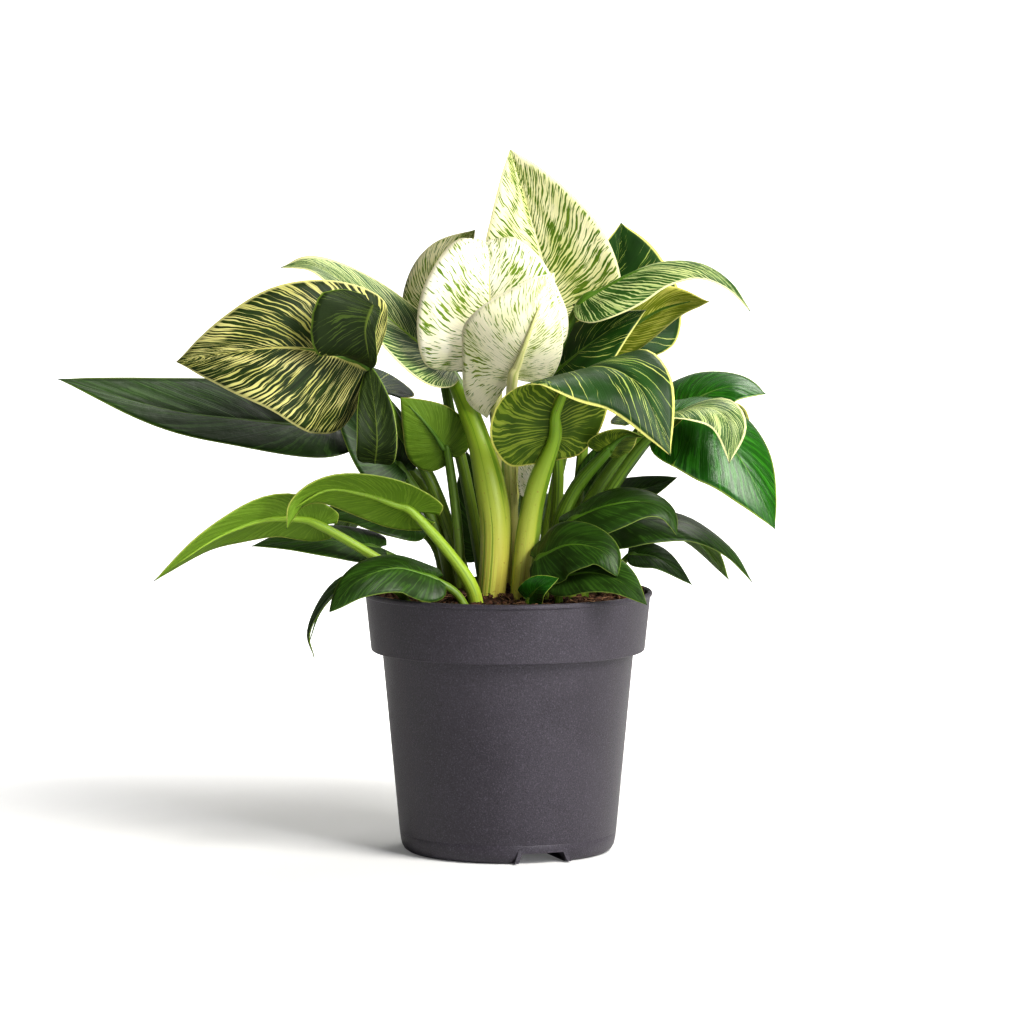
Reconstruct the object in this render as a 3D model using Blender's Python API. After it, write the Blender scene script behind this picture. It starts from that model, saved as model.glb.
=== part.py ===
import bpy
import bmesh
from math import pi, sin, cos, tan, radians
from mathutils import Vector

# Philodendron birkin in its plastic nursery pot. Sizes below are in millimetres.
# X is to the viewer's right, Y away from the viewer, Z up; the pot stands on Z = 0.
POT_HEIGHT = 110.0
RIM_RADIUS = 60.0        # outside of the rim band
RIM_BAND = 25.0          # height of the rim band
BODY_TOP_RADIUS = 53.0   # outside of the body just below the rim band
FOOT_RADIUS = 45.6       # outside of the body near the foot
WALL = 1.2
FLOOR = 1.5
CHANNEL_HEIGHT = 4.6     # drainage notches and channels under the floor
CHANNEL_TOP = 18.0
CHANNEL_FOOT = 22.0
CHANNEL_TURN = -71.0     # direction of the first channel, degrees from +X
DRAIN_HOLE = 6.0
SOIL_FOOT = 6.9          # soil rests just above the raised channel roofs
SOIL_LEVEL = 106.7
STEM_FOOT = 100.0        # stems stand this deep in their holes
STEM_GAP = 0.45          # clearance of a stem in its hole
BLADE = 0.7              # thickness of a leaf blade
LARGE, MEDIUM, SMALL = (8, 4), (7, 3), (5, 2)   # rows along a blade, columns a side

# Half outline of a flat blade: share of its length, share of its half width.
OUTLINE = [(-1.0, 0.16), (-0.80, 0.60), (0.06, 0.93), (0.25, 1.0), (0.48, 0.86),
           (0.70, 0.56), (0.87, 0.26), (0.955, 0.085), (1.0, 0.0)]


def clear_scene():
    for obj in list(bpy.data.objects):
        bpy.data.objects.remove(obj, do_unlink=True)


def material(name, colour, roughness):
    mat = bpy.data.materials.new(name)
    mat.use_nodes = True
    node = mat.node_tree.nodes["Principled BSDF"]
    node.inputs["Base Color"].default_value = (*colour, 1.0)
    node.inputs["Roughness"].default_value = roughness
    node.inputs["Metallic"].default_value = 0.0
    return mat


def add_object(name, verts, faces, mat, smooth=True):
    """Object from points in millimetres, with its faces turned outwards."""
    mesh = bpy.data.meshes.new(name)
    mesh.from_pydata([Vector(v) * 0.001 for v in verts], [], faces)
    work = bmesh.new()
    work.from_mesh(mesh)
    bmesh.ops.recalc_face_normals(work, faces=work.faces)
    work.to_mesh(mesh)
    work.free()
    for poly in mesh.polygons:
        poly.use_smooth = smooth
    obj = bpy.data.objects.new(name, mesh)
    bpy.context.scene.collection.objects.link(obj)
    obj.data.materials.append(mat)
    return obj


def combine(obj, cutters, operation):
    """One Boolean with every object of the list, applied; the list is removed."""
    group = bpy.data.collections.new("tools")
    bpy.context.scene.collection.children.link(group)
    for cutter in cutters:
        bpy.context.scene.collection.objects.unlink(cutter)
        group.objects.link(cutter)
        cutter.hide_render = True
        cutter.display_type = "WIRE"
    mod = obj.modifiers.new("join", "BOOLEAN")
    mod.operation = operation
    mod.operand_type = "COLLECTION"
    mod.collection = group
    mod.solver = "EXACT"
    bpy.context.view_layer.update()
    graph = bpy.context.evaluated_depsgraph_get()
    result = bpy.data.meshes.new_from_object(obj.evaluated_get(graph))
    obj.modifiers.clear()
    obj.data = result
    for cutter in cutters:
        bpy.data.objects.remove(cutter, do_unlink=True)
    bpy.data.collections.remove(group)
    return obj


def spline(points, u):
    """Smooth curve through the points, u from 0 to 1, points evenly spaced in u."""
    pts = [Vector(p) for p in points]
    ext = [pts[0] * 2 - pts[1]] + pts + [pts[-1] * 2 - pts[-2]]
    place = min(max(u, 0.0), 1.0) * (len(pts) - 1)
    k = min(int(place), len(pts) - 2)
    f = place - k
    a, b, c, d = ext[k:k + 4]
    return 0.5 * (2 * b + (c - a) * f + (2 * a - 5 * b + 4 * c - d) * f * f
                  + (3 * b - a - 3 * c + d) * f ** 3)


def ease(low, high, x):
    f = min(max((x - low) / (high - low), 0.0), 1.0)
    return f * f * (3 - 2 * f)


def pair(value):
    return value if isinstance(value, tuple) else (value, value)


class Rib:
    """Midrib of a blade: place, direction and upward side at a distance along it."""

    def __init__(self, points, up, steps=60):
        self.points = [spline(points, i / steps) for i in range(steps + 1)]
        self.at = [0.0]
        for a, b in zip(self.points, self.points[1:]):
            self.at.append(self.at[-1] + (b - a).length)
        self.length = self.at[-1]
        self.up = [Vector(v).normalized() for v in up]

    def direction(self, k):
        last = len(self.points) - 1
        return (self.points[min(k + 1, last)] - self.points[max(k - 1, 0)]).normalized()

    def frame(self, x):
        f = min(max(x / self.length, 0.0), 1.0)
        want = f * self.length
        k = 0
        while k < len(self.at) - 2 and self.at[k + 1] < want:
            k += 1
        part = (want - self.at[k]) / (self.at[k + 1] - self.at[k])
        place = self.points[k].lerp(self.points[k + 1], part)
        along = self.direction(k).lerp(self.direction(k + 1), part).normalized()
        place = place + along * (x - want)
        up = self.up[0].lerp(self.up[1], f).normalized()
        up = (up - along * up.dot(along)).normalized()
        return place, along, up, along.cross(up)


def outline_point(t, lobe):
    points = [(x * lobe if x < 0 else x, y, 0.0) for x, y in OUTLINE]
    return spline(points, t)


def blade_point(rib, shape, t, s):
    """Point of the blade on side vein t (0 base, 1 tip), s from -1 left to 1 right."""
    side = 1 if s >= 0 else 0
    a = abs(s)
    foot = Vector((t ** 1.85, 0.0, 0.0))
    edge = outline_point(t, pair(shape["lobe"])[side])
    edge.y = max(edge.y, 0.0) ** shape["blunt"]
    bend = Vector((foot.x + 0.32 * (edge.x - foot.x), 0.62 * edge.y, 0.0))
    flat = foot * (1 - a) ** 2 + bend * 2 * a * (1 - a) + edge * a * a
    half = pair(shape["width"])[side]
    out = flat.y * half
    fold = radians(pair(shape["fold"])[side])
    turn = pair(shape["curl"])[side]
    turn += (1 - ease(-0.05, 0.45, flat.x)) * pair(shape["base_curl"])[side]
    turn += ease(0.5, 1.0, flat.x) * pair(shape["tip_curl"])[side]
    k = radians(turn if abs(turn) > 0.01 else 0.01) / half
    across = (sin(fold + k * out) - sin(fold)) / k
    lift = (cos(fold) - cos(fold + k * out)) / k
    lift += shape["wave"] * flat.y ** 2 * sin(2 * pi * shape["waves"] * t + 2.0 * (1 - side))
    place, along, up, right = rib.frame(flat.x * rib.length)
    return place + right * across * (1 if s >= 0 else -1) + up * lift


def blade_triangles(rows, cols):
    """Triangles of the grid; the last row is one point, the tip."""
    wide = 2 * cols + 1
    tris = []
    for i in range(rows - 1):
        for j in range(2 * cols):
            a = i * wide + j
            b, c, d = a + 1, a + wide + 1, a + wide
            tris += [(a, b, c), (a, c, d)] if j < cols else [(a, b, d), (b, c, d)]
    tip = rows * wide
    last = (rows - 1) * wide
    return tris + [(last + j, last + j + 1, tip) for j in range(2 * cols)]


def blade_solid(name, shape, size, mat):
    """Closed blade of even thickness with the same triangles above and below."""
    rows, cols = size
    wide = 2 * cols + 1
    rib = Rib(shape["rib"], shape["up"])
    mid = [blade_point(rib, shape, i / rows, j / cols)
           for i in range(rows) for j in range(-cols, cols + 1)]
    mid.append(blade_point(rib, shape, 1.0, 0.0))
    tris = blade_triangles(rows, cols)
    normals = [Vector((0, 0, 0)) for _ in mid]
    for a, b, c in tris:
        n = (mid[b] - mid[a]).cross(mid[c] - mid[a])
        for k in (a, b, c):
            normals[k] += n
    normals = [n.normalized() * BLADE / 2 for n in normals]
    above = [p + n for p, n in zip(mid, normals)]
    below = [p - n for p, n in zip(mid, normals)]
    shift = len(mid)
    edge = list(range(wide)) + [i * wide + wide - 1 for i in range(1, rows)]
    edge += [rows * wide] + [i * wide for i in range(rows - 1, 0, -1)]
    faces = tris + [(c + shift, b + shift, a + shift) for a, b, c in tris]
    for a, b in zip(edge, edge[1:] + edge[:1]):
        faces += [(a, b, b + shift), (a, b + shift, a + shift)]
    return add_object(name, above + below, faces, mat)


def tube(name, points, radii, sides, steps, mat):
    """Round stem through the points; radii are spread evenly along it."""
    verts, faces = [], []
    for i in range(steps + 1):
        u = i / steps
        place = spline(points, u)
        along = (spline(points, min(u + 0.01, 1)) - spline(points, max(u - 0.01, 0))).normalized()
        a = along.cross(Vector((0.3, 1, 0.1))).normalized()
        b = along.cross(a)
        pos = u * (len(radii) - 1)
        k = min(int(pos), len(radii) - 2)
        r = radii[k] + (radii[k + 1] - radii[k]) * (pos - k)
        for j in range(sides):
            turn = 2 * pi * j / sides
            verts.append(place + (a * cos(turn) + b * sin(turn)) * r)
    for i in range(steps):
        for j in range(sides):
            a, b = i * sides + j, i * sides + (j + 1) % sides
            faces += [(a, b, b + sides), (a, b + sides, a + sides)]
    faces += [tuple(range(sides)), tuple(range(steps * sides, (steps + 1) * sides))]
    return add_object(name, verts, faces, mat)


STEMS = []               # stem paths and radii, kept for the holes in the soil


def leaf(name, colour, petiole, radii, size, flaps=(), **shape):
    """One leaf: a stem from the soil, its blade and any folded lobes, in one body."""
    shape = {"fold": 8.0, "curl": -20.0, "base_curl": 0.0, "tip_curl": 0.0,
             "wave": 0.0, "waves": 3.0, "blunt": 1.0, **shape}
    mat = material(name + "_green", colour, 0.45)
    rib = Rib(shape["rib"], shape["up"])
    path = [Vector(p) for p in petiole] + [Vector(shape["rib"][0])]
    end = radii[-1]
    for share, drop in ((0.0, 0.75), (0.12, 0.7)):
        place, along, up, right = rib.frame(share * rib.length)
        path.append(place - up * end * drop)
    path[-3:-1] = [path[-2]]
    STEMS.append((path, list(radii)))
    obj = blade_solid(name, shape, size, mat)
    steps = len(path)
    parts = [tube("stem", path, list(radii) + [end * 0.8], 6, steps, mat)]
    for k, flap in enumerate(flaps):
        parts.append(blade_solid("flap%d" % k, {**shape, **flap}, SMALL, mat))
    return combine(obj, parts, "UNION")


def lathe(name, profile, sides, mat):
    """Body turned about Z from a closed profile of (radius, height)."""
    verts, faces, rings = [], [], []
    for r, z in profile:
        if r == 0.0:
            rings.append([len(verts)])
            verts.append((0.0, 0.0, z))
        else:
            rings.append(list(range(len(verts), len(verts) + sides)))
            verts += [(r * cos(2 * pi * j / sides), r * sin(2 * pi * j / sides), z)
                      for j in range(sides)]
    for one, two in zip(rings, rings[1:]):
        for j in range(sides):
            a, b = one[j % len(one)], one[(j + 1) % len(one)]
            c, d = two[(j + 1) % len(two)], two[j % len(two)]
            face = [a]
            for k in (b, c, d):
                if k not in face:
                    face.append(k)
            faces.append(tuple(face))
    return add_object(name, verts, faces, mat)


def channel(name, inner, outer, foot, top, height, low, turn, mat):
    """Trapezoid bar from inner to outer radius, turned about Z."""
    verts = []
    for x in (inner, outer):
        for y, z in ((-foot / 2, low), (foot / 2, low), (top / 2, height), (-top / 2, height)):
            verts.append((x * cos(turn) - y * sin(turn), x * sin(turn) + y * cos(turn), z))
    faces = [(0, 1, 2, 3), (7, 6, 5, 4), (0, 4, 5, 1), (1, 5, 6, 2), (2, 6, 7, 3), (3, 7, 4, 0)]
    return add_object(name, verts, faces, mat, smooth=False)


def pot():
    """Nursery pot: thin wall, rim band, flat floor with two raised drain channels."""
    mat = material("pot_plastic", (0.07, 0.06, 0.075), 0.6)
    low = POT_HEIGHT - RIM_BAND
    r, body, foot = RIM_RADIUS, BODY_TOP_RADIUS, FOOT_RADIUS
    profile = [(0.0, 0.0), (foot - 4.5, 0.0), (foot - 1.6, 1.2), (foot, 5.0), (body, low - 2.7),
               (r - 2.5, low + 0.3), (r, POT_HEIGHT - 3.0), (r + 0.75, POT_HEIGHT - 1.8),
               (r + 0.6, POT_HEIGHT - 0.3), (r - 0.2, POT_HEIGHT), (r - WALL, POT_HEIGHT - 0.6),
               (r - 2.5 - WALL, low + 1.0), (body - WALL, low - 2.4), (foot - WALL, 5.6),
               (foot - 3.4, FLOOR + 0.5), (foot - 5.5, FLOOR), (0.0, FLOOR)]
    obj = lathe("pot", profile, 40, mat)
    turns = [radians(CHANNEL_TURN + 180.0 * k) for k in range(2)]
    roof = [channel("roof", 14.0, foot - 0.9, CHANNEL_FOOT + 3.0, CHANNEL_TOP + 3.0,
                    CHANNEL_HEIGHT + FLOOR, 0.6, turn, mat) for turn in turns]
    combine(obj, roof, "UNION")
    cuts = [channel("cut", 17.0, foot + 8.0, CHANNEL_FOOT + 0.5, CHANNEL_TOP,
                    CHANNEL_HEIGHT, -0.5, turn, mat) for turn in turns]
    for turn in turns:
        cuts.append(tube("drain", [(28 * cos(turn), 28 * sin(turn), 3.0),
                                   (28 * cos(turn), 28 * sin(turn), 9.0)],
                         [DRAIN_HOLE / 2, DRAIN_HOLE / 2], 10, 1, mat))
    return combine(obj, cuts, "DIFFERENCE")


def soil_height(r, turn):
    """Crumbled top of the soil: heaped at the stems and to the right."""
    height = SOIL_LEVEL + 1.4 * cos(pi * min(r / 50.0, 1.0))
    height += 0.7 * sin(3 * turn + 0.12 * r) + 0.5 * sin(5 * turn - 0.2 * r)
    return height + 2.4 * max(0.0, cos(turn)) * ease(34.0, 54.0, r)


def soil():
    """Packed soil in the pot with a plain hole for each stem."""
    mat = material("soil_peat", (0.035, 0.022, 0.015), 0.95)
    sides = 32
    low = POT_HEIGHT - RIM_BAND
    gap = WALL + 0.4
    rings = [16.0, 32.0, 46.0, 57.0]
    profile = [(RIM_RADIUS - 2.5 - gap, low + 1.6), (BODY_TOP_RADIUS - gap, low - 2.0),
               (FOOT_RADIUS - gap, SOIL_FOOT)]
    verts = [(0.0, 0.0, soil_height(0.0, 0.0))]
    for k, r in enumerate(rings):
        for j in range(sides):
            turn = 2 * pi * j / sides
            verts.append((r * cos(turn), r * sin(turn), soil_height(r, turn)))
    for r, z in profile:
        verts += [(r * cos(2 * pi * j / sides), r * sin(2 * pi * j / sides), z)
                  for j in range(sides)]
    faces = [(0, 1 + j, 1 + (j + 1) % sides) for j in range(sides)]
    count = len(rings) + len(profile)
    for k in range(count - 1):
        for j in range(sides):
            a, b = 1 + k * sides + j, 1 + k * sides + (j + 1) % sides
            faces += [(a, b, b + sides), (a, b + sides, a + sides)]
    faces.append(tuple(range(1 + (count - 1) * sides, 1 + count * sides)))
    obj = add_object("soil", verts, faces, mat)
    holes = []
    for path, radii in STEMS:
        start = (path[1] - path[0]).normalized()
        first = path[0] - start * (STEM_GAP + 0.1)
        share = min(14.0 / (path[1] - path[0]).length, 1.0)
        bend = spline(path, share / (len(path) - 1))
        low_r = radii[0] + STEM_GAP
        top_r = low_r + max(radii[1] - radii[0], 0.0) * share + 0.15
        holes.append(tube("hole", [first, path[0], bend], [low_r, low_r, top_r], 6, 2, mat))
    return combine(obj, holes, "DIFFERENCE")


def leaves():
    leaf("leaf_top_furled", (0.75, 0.74, 0.5), petiole=[(0, 14, 100), (2, 18, 150), (12, 20, 190)],
         radii=[3.4, 2.8, 2.2], size=LARGE, rib=[(19, 16, 218), (16, 22, 241), (9, 20, 268), (1, 8, 295)],
         up=[(0.1, -1, 0.2), (0.1, -1, -0.1)], width=(30, 32), fold=(28, 18), curl=(-20, 5), lobe=0.1,
         blunt=0.85)
    leaf("leaf_cream_back", (0.82, 0.82, 0.6), petiole=[(-3, 2, 100), (-5, 2, 140), (-5, -1, 175)],
         radii=[3, 2.6, 2.2], size=LARGE,
         rib=[(-4, -9, 207), (-7, -18, 227), (-8, -15, 247), (-9, -2, 257), (-10, 9, 252)],
         up=[(0, -1, 0.25), (0, -0.1, 1)], width=(32, 32), fold=(12, 12), curl=(-25, -25), lobe=0)
    leaf("leaf_cream_front", (0.8, 0.82, 0.58),
         petiole=[(3, 3, 100), (2, 0, 135), (1, -7, 160), (1, -20, 182)], radii=[2.8, 2.6, 2.4],
         size=LARGE, rib=[(2, -30, 201), (8, -40, 218), (14, -42, 234), (19, -36, 245)],
         up=[(0.1, 1, 0.2), (0, 1, 0.5)], width=(18, 27), fold=(10, 5), curl=(30, 18), tip_curl=(0, 70),
         lobe=(0, 0.45))
    leaf("leaf_left_striped", (0.35, 0.36, 0.15), petiole=[(-14, 2, 100), (-30, 4, 150), (-46, -4, 180)],
         radii=[3.2, 2.6, 2.2], size=LARGE,
         rib=[(-57, -18, 204), (-73, -28, 211), (-92, -35, 214), (-114, -37, 212), (-137, -34, 208)],
         up=[(-0.2, -1, 0.15), (-0.15, -1, 0.1)], width=(34, 31), fold=(6, 6), curl=(-18, -30), lobe=0,
         flaps=[dict(rib=[(-58, -44, 232), (-61, -45, 222), (-59, -36, 210), (-57, -15.5, 204)],
              up=[(0.2, 1, 0.2), (0.2, 1, 0.2)], width=(23, 2.5), fold=(-5, 0), curl=(-15, 0),
              lobe=(0.06, 0), blunt=0.9),
         dict(rib=[(-55, -31, 166), (-54, -35, 176), (-55, -32, 188), (-58, -16.5, 206)], up=[(0, 1, 0),
              (0, 1, -0.3)], width=(8.5, 8.5), fold=(0, 0), curl=(-20, -20), lobe=0, blunt=0.75)])
    leaf("leaf_left_far_dark", (0.03, 0.07, 0.03),
         petiole=[(-18, 14, 100), (-34, 16, 150), (-56, 14, 170)], radii=[3, 2.4, 2], size=LARGE,
         rib=[(-70, 12, 177), (-108, 8, 181), (-144, 4, 186), (-189, 0, 199)],
         up=[(0, -0.5, 0.85), (0, -0.5, 0.85)], width=(20, 30), fold=(4, 8), curl=(-20, -10), lobe=0.06,
         wave=1.2, waves=2)
    leaf("leaf_left_upper", (0.1, 0.2, 0.08),
         petiole=[(-8, -16, 100), (-5, -16, 132), (-7, -16, 153), (-14, -14, 180)],
         radii=[5.6, 6.6, 6.6, 4.6, 3.2], size=LARGE,
         rib=[(-22, 1, 202), (-40, 3, 216), (-58, 2, 231), (-80, -1, 246), (-95, -4, 246)],
         up=[(0.5, -0.5, 0.68), (0.3, -0.4, 0.8)], width=(22, 23), fold=(10, 10), curl=(-20, -25),
         lobe=0.04, wave=0.8, waves=2)
    leaf("leaf_back_left_striped", (0.3, 0.32, 0.14),
         petiole=[(-8, 18, 100), (-17, 24, 150), (-26, 30, 190)], radii=[3, 2.4, 2], size=MEDIUM,
         rib=[(-29, 37, 216), (-30, 36, 231), (-26, 32, 247), (-14, 27, 261)],
         up=[(-0.2, -1, 0.2), (-0.1, -1, 0.1)], width=(16, 26), fold=(10, 20), curl=(-30, 30), lobe=0.1)
    leaf("leaf_back_right_upper", (0.05, 0.12, 0.03),
         petiole=[(12, 24, 100), (20, 32, 150), (30, 36, 190)], radii=[3, 2.4, 2], size=MEDIUM,
         rib=[(40, 38, 214), (44, 38, 232), (47, 33, 250), (48, 25, 264)],
         up=[(0.2, -1, 0.1), (0.3, -1, 0.1)], width=(28, 33), fold=(20, 10), curl=(-20, -20), lobe=0.1,
         wave=1, waves=2)
    leaf("leaf_right_top_long", (0.2, 0.24, 0.15), petiole=[(9, 7, 100), (8, 6, 150), (16, -2, 198)],
         radii=[3.2, 2.6, 2], size=LARGE,
         rib=[(28, -8, 231), (44, -10, 240), (62, -10, 248), (80, -10, 248), (93, -10, 240), (101, -11,
              228)],
         up=[(0, -0.2, 1), (0.5, -0.1, 0.8)], width=(18, 15), fold=(-12, -30), curl=(-20, -30), lobe=0.02,
         wave=0.8, waves=2)
    leaf("leaf_right_yellow_under", (0.35, 0.4, 0.12),
         petiole=[(22, 16, 100), (30, 19, 150), (33, 22, 185)], radii=[3, 2.4, 2], size=MEDIUM,
         rib=[(34, 23, 207), (52, 23, 220), (70, 21, 230), (85, 13, 231)],
         up=[(-0.4, 0.8, 0.45), (-0.4, 0.8, 0.45)], width=(18, 18), fold=(5, 5), curl=(20, 20), lobe=0.06)
    leaf("leaf_right_dark_behind", (0.04, 0.1, 0.04),
         petiole=[(16, 10, 100), (21, 10, 150), (20, 8, 180)], radii=[3, 2.4, 2], size=MEDIUM,
         rib=[(18, 6, 200), (32, 0, 212), (46, -2, 222), (58, 0, 228)],
         up=[(-0.1, -0.8, 0.6), (-0.1, -0.7, 0.7)], width=(16, 18), fold=(5, 5), curl=(-20, -20),
         lobe=0.06)
    leaf("leaf_front_right_dark", (0.05, 0.12, 0.05),
         petiole=[(5, -18, 100), (8, -20, 132), (12, -24, 155)], radii=[5, 5.2, 4.6, 3], size=LARGE,
         rib=[(18, -28, 175), (21, -37, 195), (35, -50, 207), (53, -64, 200), (66, -74, 172)],
         up=[(-0.5, 0.75, 0.35), (0.2, -0.9, 0.4)], width=(26, 33), fold=(5, 5), curl=(-25, -15),
         lobe=0.1)
    leaf("leaf_under_right_mid", (0.15, 0.2, 0.05), petiole=[(17, -9, 100), (20, -8, 132), (28, -9, 153)],
         radii=[3.8, 3.6, 3, 2.4], size=SMALL, rib=[(40, -14, 170), (49, -19, 177), (57, -23, 176)],
         up=[(-0.1, 0.5, 0.85), (-0.1, 0.3, 0.9)], width=(12, 13), fold=(5, 5), curl=(-15, -15), lobe=0.1)
    leaf("leaf_right_glossy_back", (0.04, 0.16, 0.03),
         petiole=[(27, 13, 100), (38, 16, 140), (56, 16, 168)], radii=[3, 2.4, 2], size=MEDIUM,
         rib=[(66, 15, 181), (80, 16, 190), (95, 16, 195), (109, 12, 192)],
         up=[(0, -0.4, 0.9), (0.2, -0.4, 0.9)], width=(22, 22), fold=(5, -10), curl=(-20, -30), lobe=0.06,
         wave=1, waves=2)
    leaf("leaf_right_arched_variegated", (0.3, 0.38, 0.2),
         petiole=[(24, -10, 100), (33, -10, 135), (50, -20, 165)], radii=[2.8, 2.4, 2], size=MEDIUM,
         rib=[(60, -29, 180), (72, -33, 188), (84, -38, 189), (91, -43, 182), (91, -47, 167)],
         up=[(-0.4, 0.3, 0.85), (0.5, -0.8, 0.3)], width=(16, 16), fold=(5, 5), curl=(-20, -20),
         lobe=0.08)
    leaf("leaf_right_big_glossy", (0.03, 0.14, 0.03),
         petiole=[(20, -1, 100), (28, -2, 135), (46, -5, 165)], radii=[3.2, 2.8, 2.4], size=LARGE,
         rib=[(66, -8, 184), (82, -14, 182), (96, -20, 168), (105, -24, 152), (111, -26, 138)],
         up=[(0.2, -0.6, 0.75), (0.5, -0.8, 0.3)], width=(24, 26), fold=(-5, -5), curl=(-20, -20),
         lobe=0.04, wave=1.2, waves=1.5)
    leaf("leaf_folded_dark_right", (0.04, 0.11, 0.03), petiole=[(28, 7, 100), (30, 9, 130)],
         radii=[2.2, 1.8], size=SMALL, rib=[(34, 10, 150), (42, 10, 164), (55, 10, 176)],
         up=[(-0.6, -0.6, 0.5), (-0.6, -0.6, 0.5)], width=(10, 10), fold=(20, 20), curl=(0, 0), lobe=0)
    leaf("leaf_centre_small_white", (0.04, 0.11, 0.03), petiole=[(9, -5, 100), (10, -6, 130)],
         radii=[2.2, 1.8], size=SMALL,
         rib=[(11, -8, 150), (11, -10, 164), (12, -12, 176), (16, -14, 186)],
         up=[(-0.3, -1, 0), (-0.3, -1, 0)], width=(7, 7), fold=(25, 25), curl=(0, 0), lobe=0)
    leaf("leaf_round_green_under", (0.2, 0.36, 0.08), petiole=[(-19, -4, 100), (-21, -4, 135)],
         radii=[2.4, 2], size=SMALL,
         rib=[(-25, -5, 167), (-32, -9, 178), (-39, -11, 186), (-45, -11, 192)],
         up=[(0, 1, 0), (0, 1, 0)], width=(14, 15), fold=(5, 5), curl=(10, 10), lobe=0.1)
    leaf("leaf_dark_mid_left", (0.04, 0.11, 0.03), petiole=[(-22, 6, 100), (-30, 6, 135)], radii=[2.6, 2],
         size=MEDIUM, rib=[(-43, 4, 160), (-54, 3, 170), (-64, 1, 180), (-72, 0, 190)],
         up=[(0.2, -0.8, 0.6), (0.2, -0.8, 0.6)], width=(16, 16), fold=(5, 5), curl=(-20, -20), lobe=0.06)
    leaf("leaf_low_left_long", (0.22, 0.38, 0.1),
         petiole=[(-30, -22, 100), (-42, -24, 117), (-58, -26, 128)], radii=[2, 2, 2], size=MEDIUM,
         rib=[(-76, -27, 140), (-94, -29, 144), (-112, -33, 139), (-127, -38, 132), (-146, -43, 118)],
         up=[(-0.2, 0.75, 0.6), (-0.3, 0.5, 0.8)], width=(12, 12), fold=(10, 5), curl=(-10, -10),
         lobe=0.06, wave=1, waves=2)
    leaf("leaf_low_left_curled", (0.2, 0.36, 0.08),
         petiole=[(-12, -28, 100), (-15, -30, 114), (-24, -31, 128)], radii=[3.2, 3, 2.4, 2], size=MEDIUM,
         rib=[(-38, -32, 146), (-56, -37, 153), (-74, -42, 156), (-86, -46, 151), (-91, -48, 140)],
         up=[(0, 0.75, 0.65), (-0.2, 0.5, 0.7)], width=(15, 14), fold=(5, 10), curl=(-25, -30), lobe=0.15)
    leaf("leaf_low_left_dark_a", (0.04, 0.11, 0.03), petiole=[(-28, -8, 100), (-38, -10, 118)],
         radii=[2, 1.8], size=SMALL,
         rib=[(-54, -10, 129), (-72, -12, 132), (-90, -14, 132), (-107, -16, 130)],
         up=[(0, -0.4, 0.9), (0, -0.4, 0.9)], width=(14, 16), fold=(5, 5), curl=(-20, -20), lobe=0.06)
    leaf("leaf_low_left_dark_b", (0.04, 0.11, 0.03), petiole=[(-26, 16, 100), (-30, 15, 125)],
         radii=[2, 1.8], size=SMALL, rib=[(-38, 10, 137), (-50, 6, 141), (-66, 4, 143), (-82, 2, 140)],
         up=[(0, -0.5, 0.85), (0, -0.5, 0.85)], width=(14, 16), fold=(5, 5), curl=(-20, -20), lobe=0.06)
    leaf("leaf_low_front_left", (0.04, 0.11, 0.03), petiole=[(-14, -38, 100), (-21, -38, 112)],
         radii=[1.8, 1.7], size=SMALL,
         rib=[(-29, -40, 119), (-46, -48, 124), (-62, -56, 119), (-73, -60, 107)],
         up=[(0, -0.6, 0.8), (-0.3, -0.8, 0.5)], width=(13, 13), fold=(-5, -5), curl=(-25, -25),
         lobe=0.06, blunt=0.8, wave=0.8, waves=2)
    leaf("leaf_thin_hanging", (0.04, 0.11, 0.03), petiole=[(-38, -29, 100), (-45, -31, 112)],
         radii=[1.8, 1.6], size=SMALL,
         rib=[(-54, -34, 117), (-66, -38, 117), (-76, -41, 108), (-82, -42, 96), (-80, -42, 86)],
         up=[(-0.2, -0.2, 1), (-0.95, -0.15, 0.1)], width=(8, 8), fold=(10, 10), curl=(0, 0), lobe=0.06)
    leaf("leaf_low_right_a", (0.04, 0.11, 0.03), petiole=[(14, -22, 100), (17, -23, 125)], radii=[2.4, 2],
         size=SMALL, rib=[(24, -26, 141), (40, -30, 148), (56, -32, 150), (66, -34, 146), (70, -36, 136)],
         up=[(0, -0.5, 0.85), (0.5, -0.6, 0.6)], width=(14, 14), fold=(-5, -5), curl=(-20, -20),
         lobe=0.06, wave=0.8, waves=2)
    leaf("leaf_low_right_b", (0.04, 0.11, 0.03), petiole=[(12, -31, 100), (11, -31, 116)], radii=[2, 1.8],
         size=SMALL, rib=[(11, -33, 126), (25, -42, 133), (39, -50, 131), (45, -54, 121)],
         up=[(0.1, -0.75, 0.65), (0.3, -0.9, 0.3)], width=(14, 14), fold=(-5, -5), curl=(-20, -20),
         lobe=0.06, blunt=0.8, wave=0.8, waves=2)
    leaf("leaf_low_right_c", (0.04, 0.11, 0.03), petiole=[(22, -33, 100), (21, -34, 111)],
         radii=[1.8, 1.7], size=SMALL,
         rib=[(20, -37, 119), (34, -47, 122), (46, -55, 119), (57, -62, 110)],
         up=[(0, -0.7, 0.7), (0.2, -0.9, 0.4)], width=(13, 11), fold=(0, 0), curl=(-10, -10), lobe=0.06)
    leaf("leaf_low_small_front", (0.04, 0.11, 0.03), petiole=[(7, -38, 100)], radii=[1.6, 1.6],
         size=SMALL, rib=[(8, -40, 110), (13, -46, 116), (21, -50, 120)],
         up=[(0.2, -0.9, 0.4), (0.2, -0.9, 0.4)], width=(6, 6), fold=(10, 10), curl=(0, 0), lobe=0)
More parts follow.
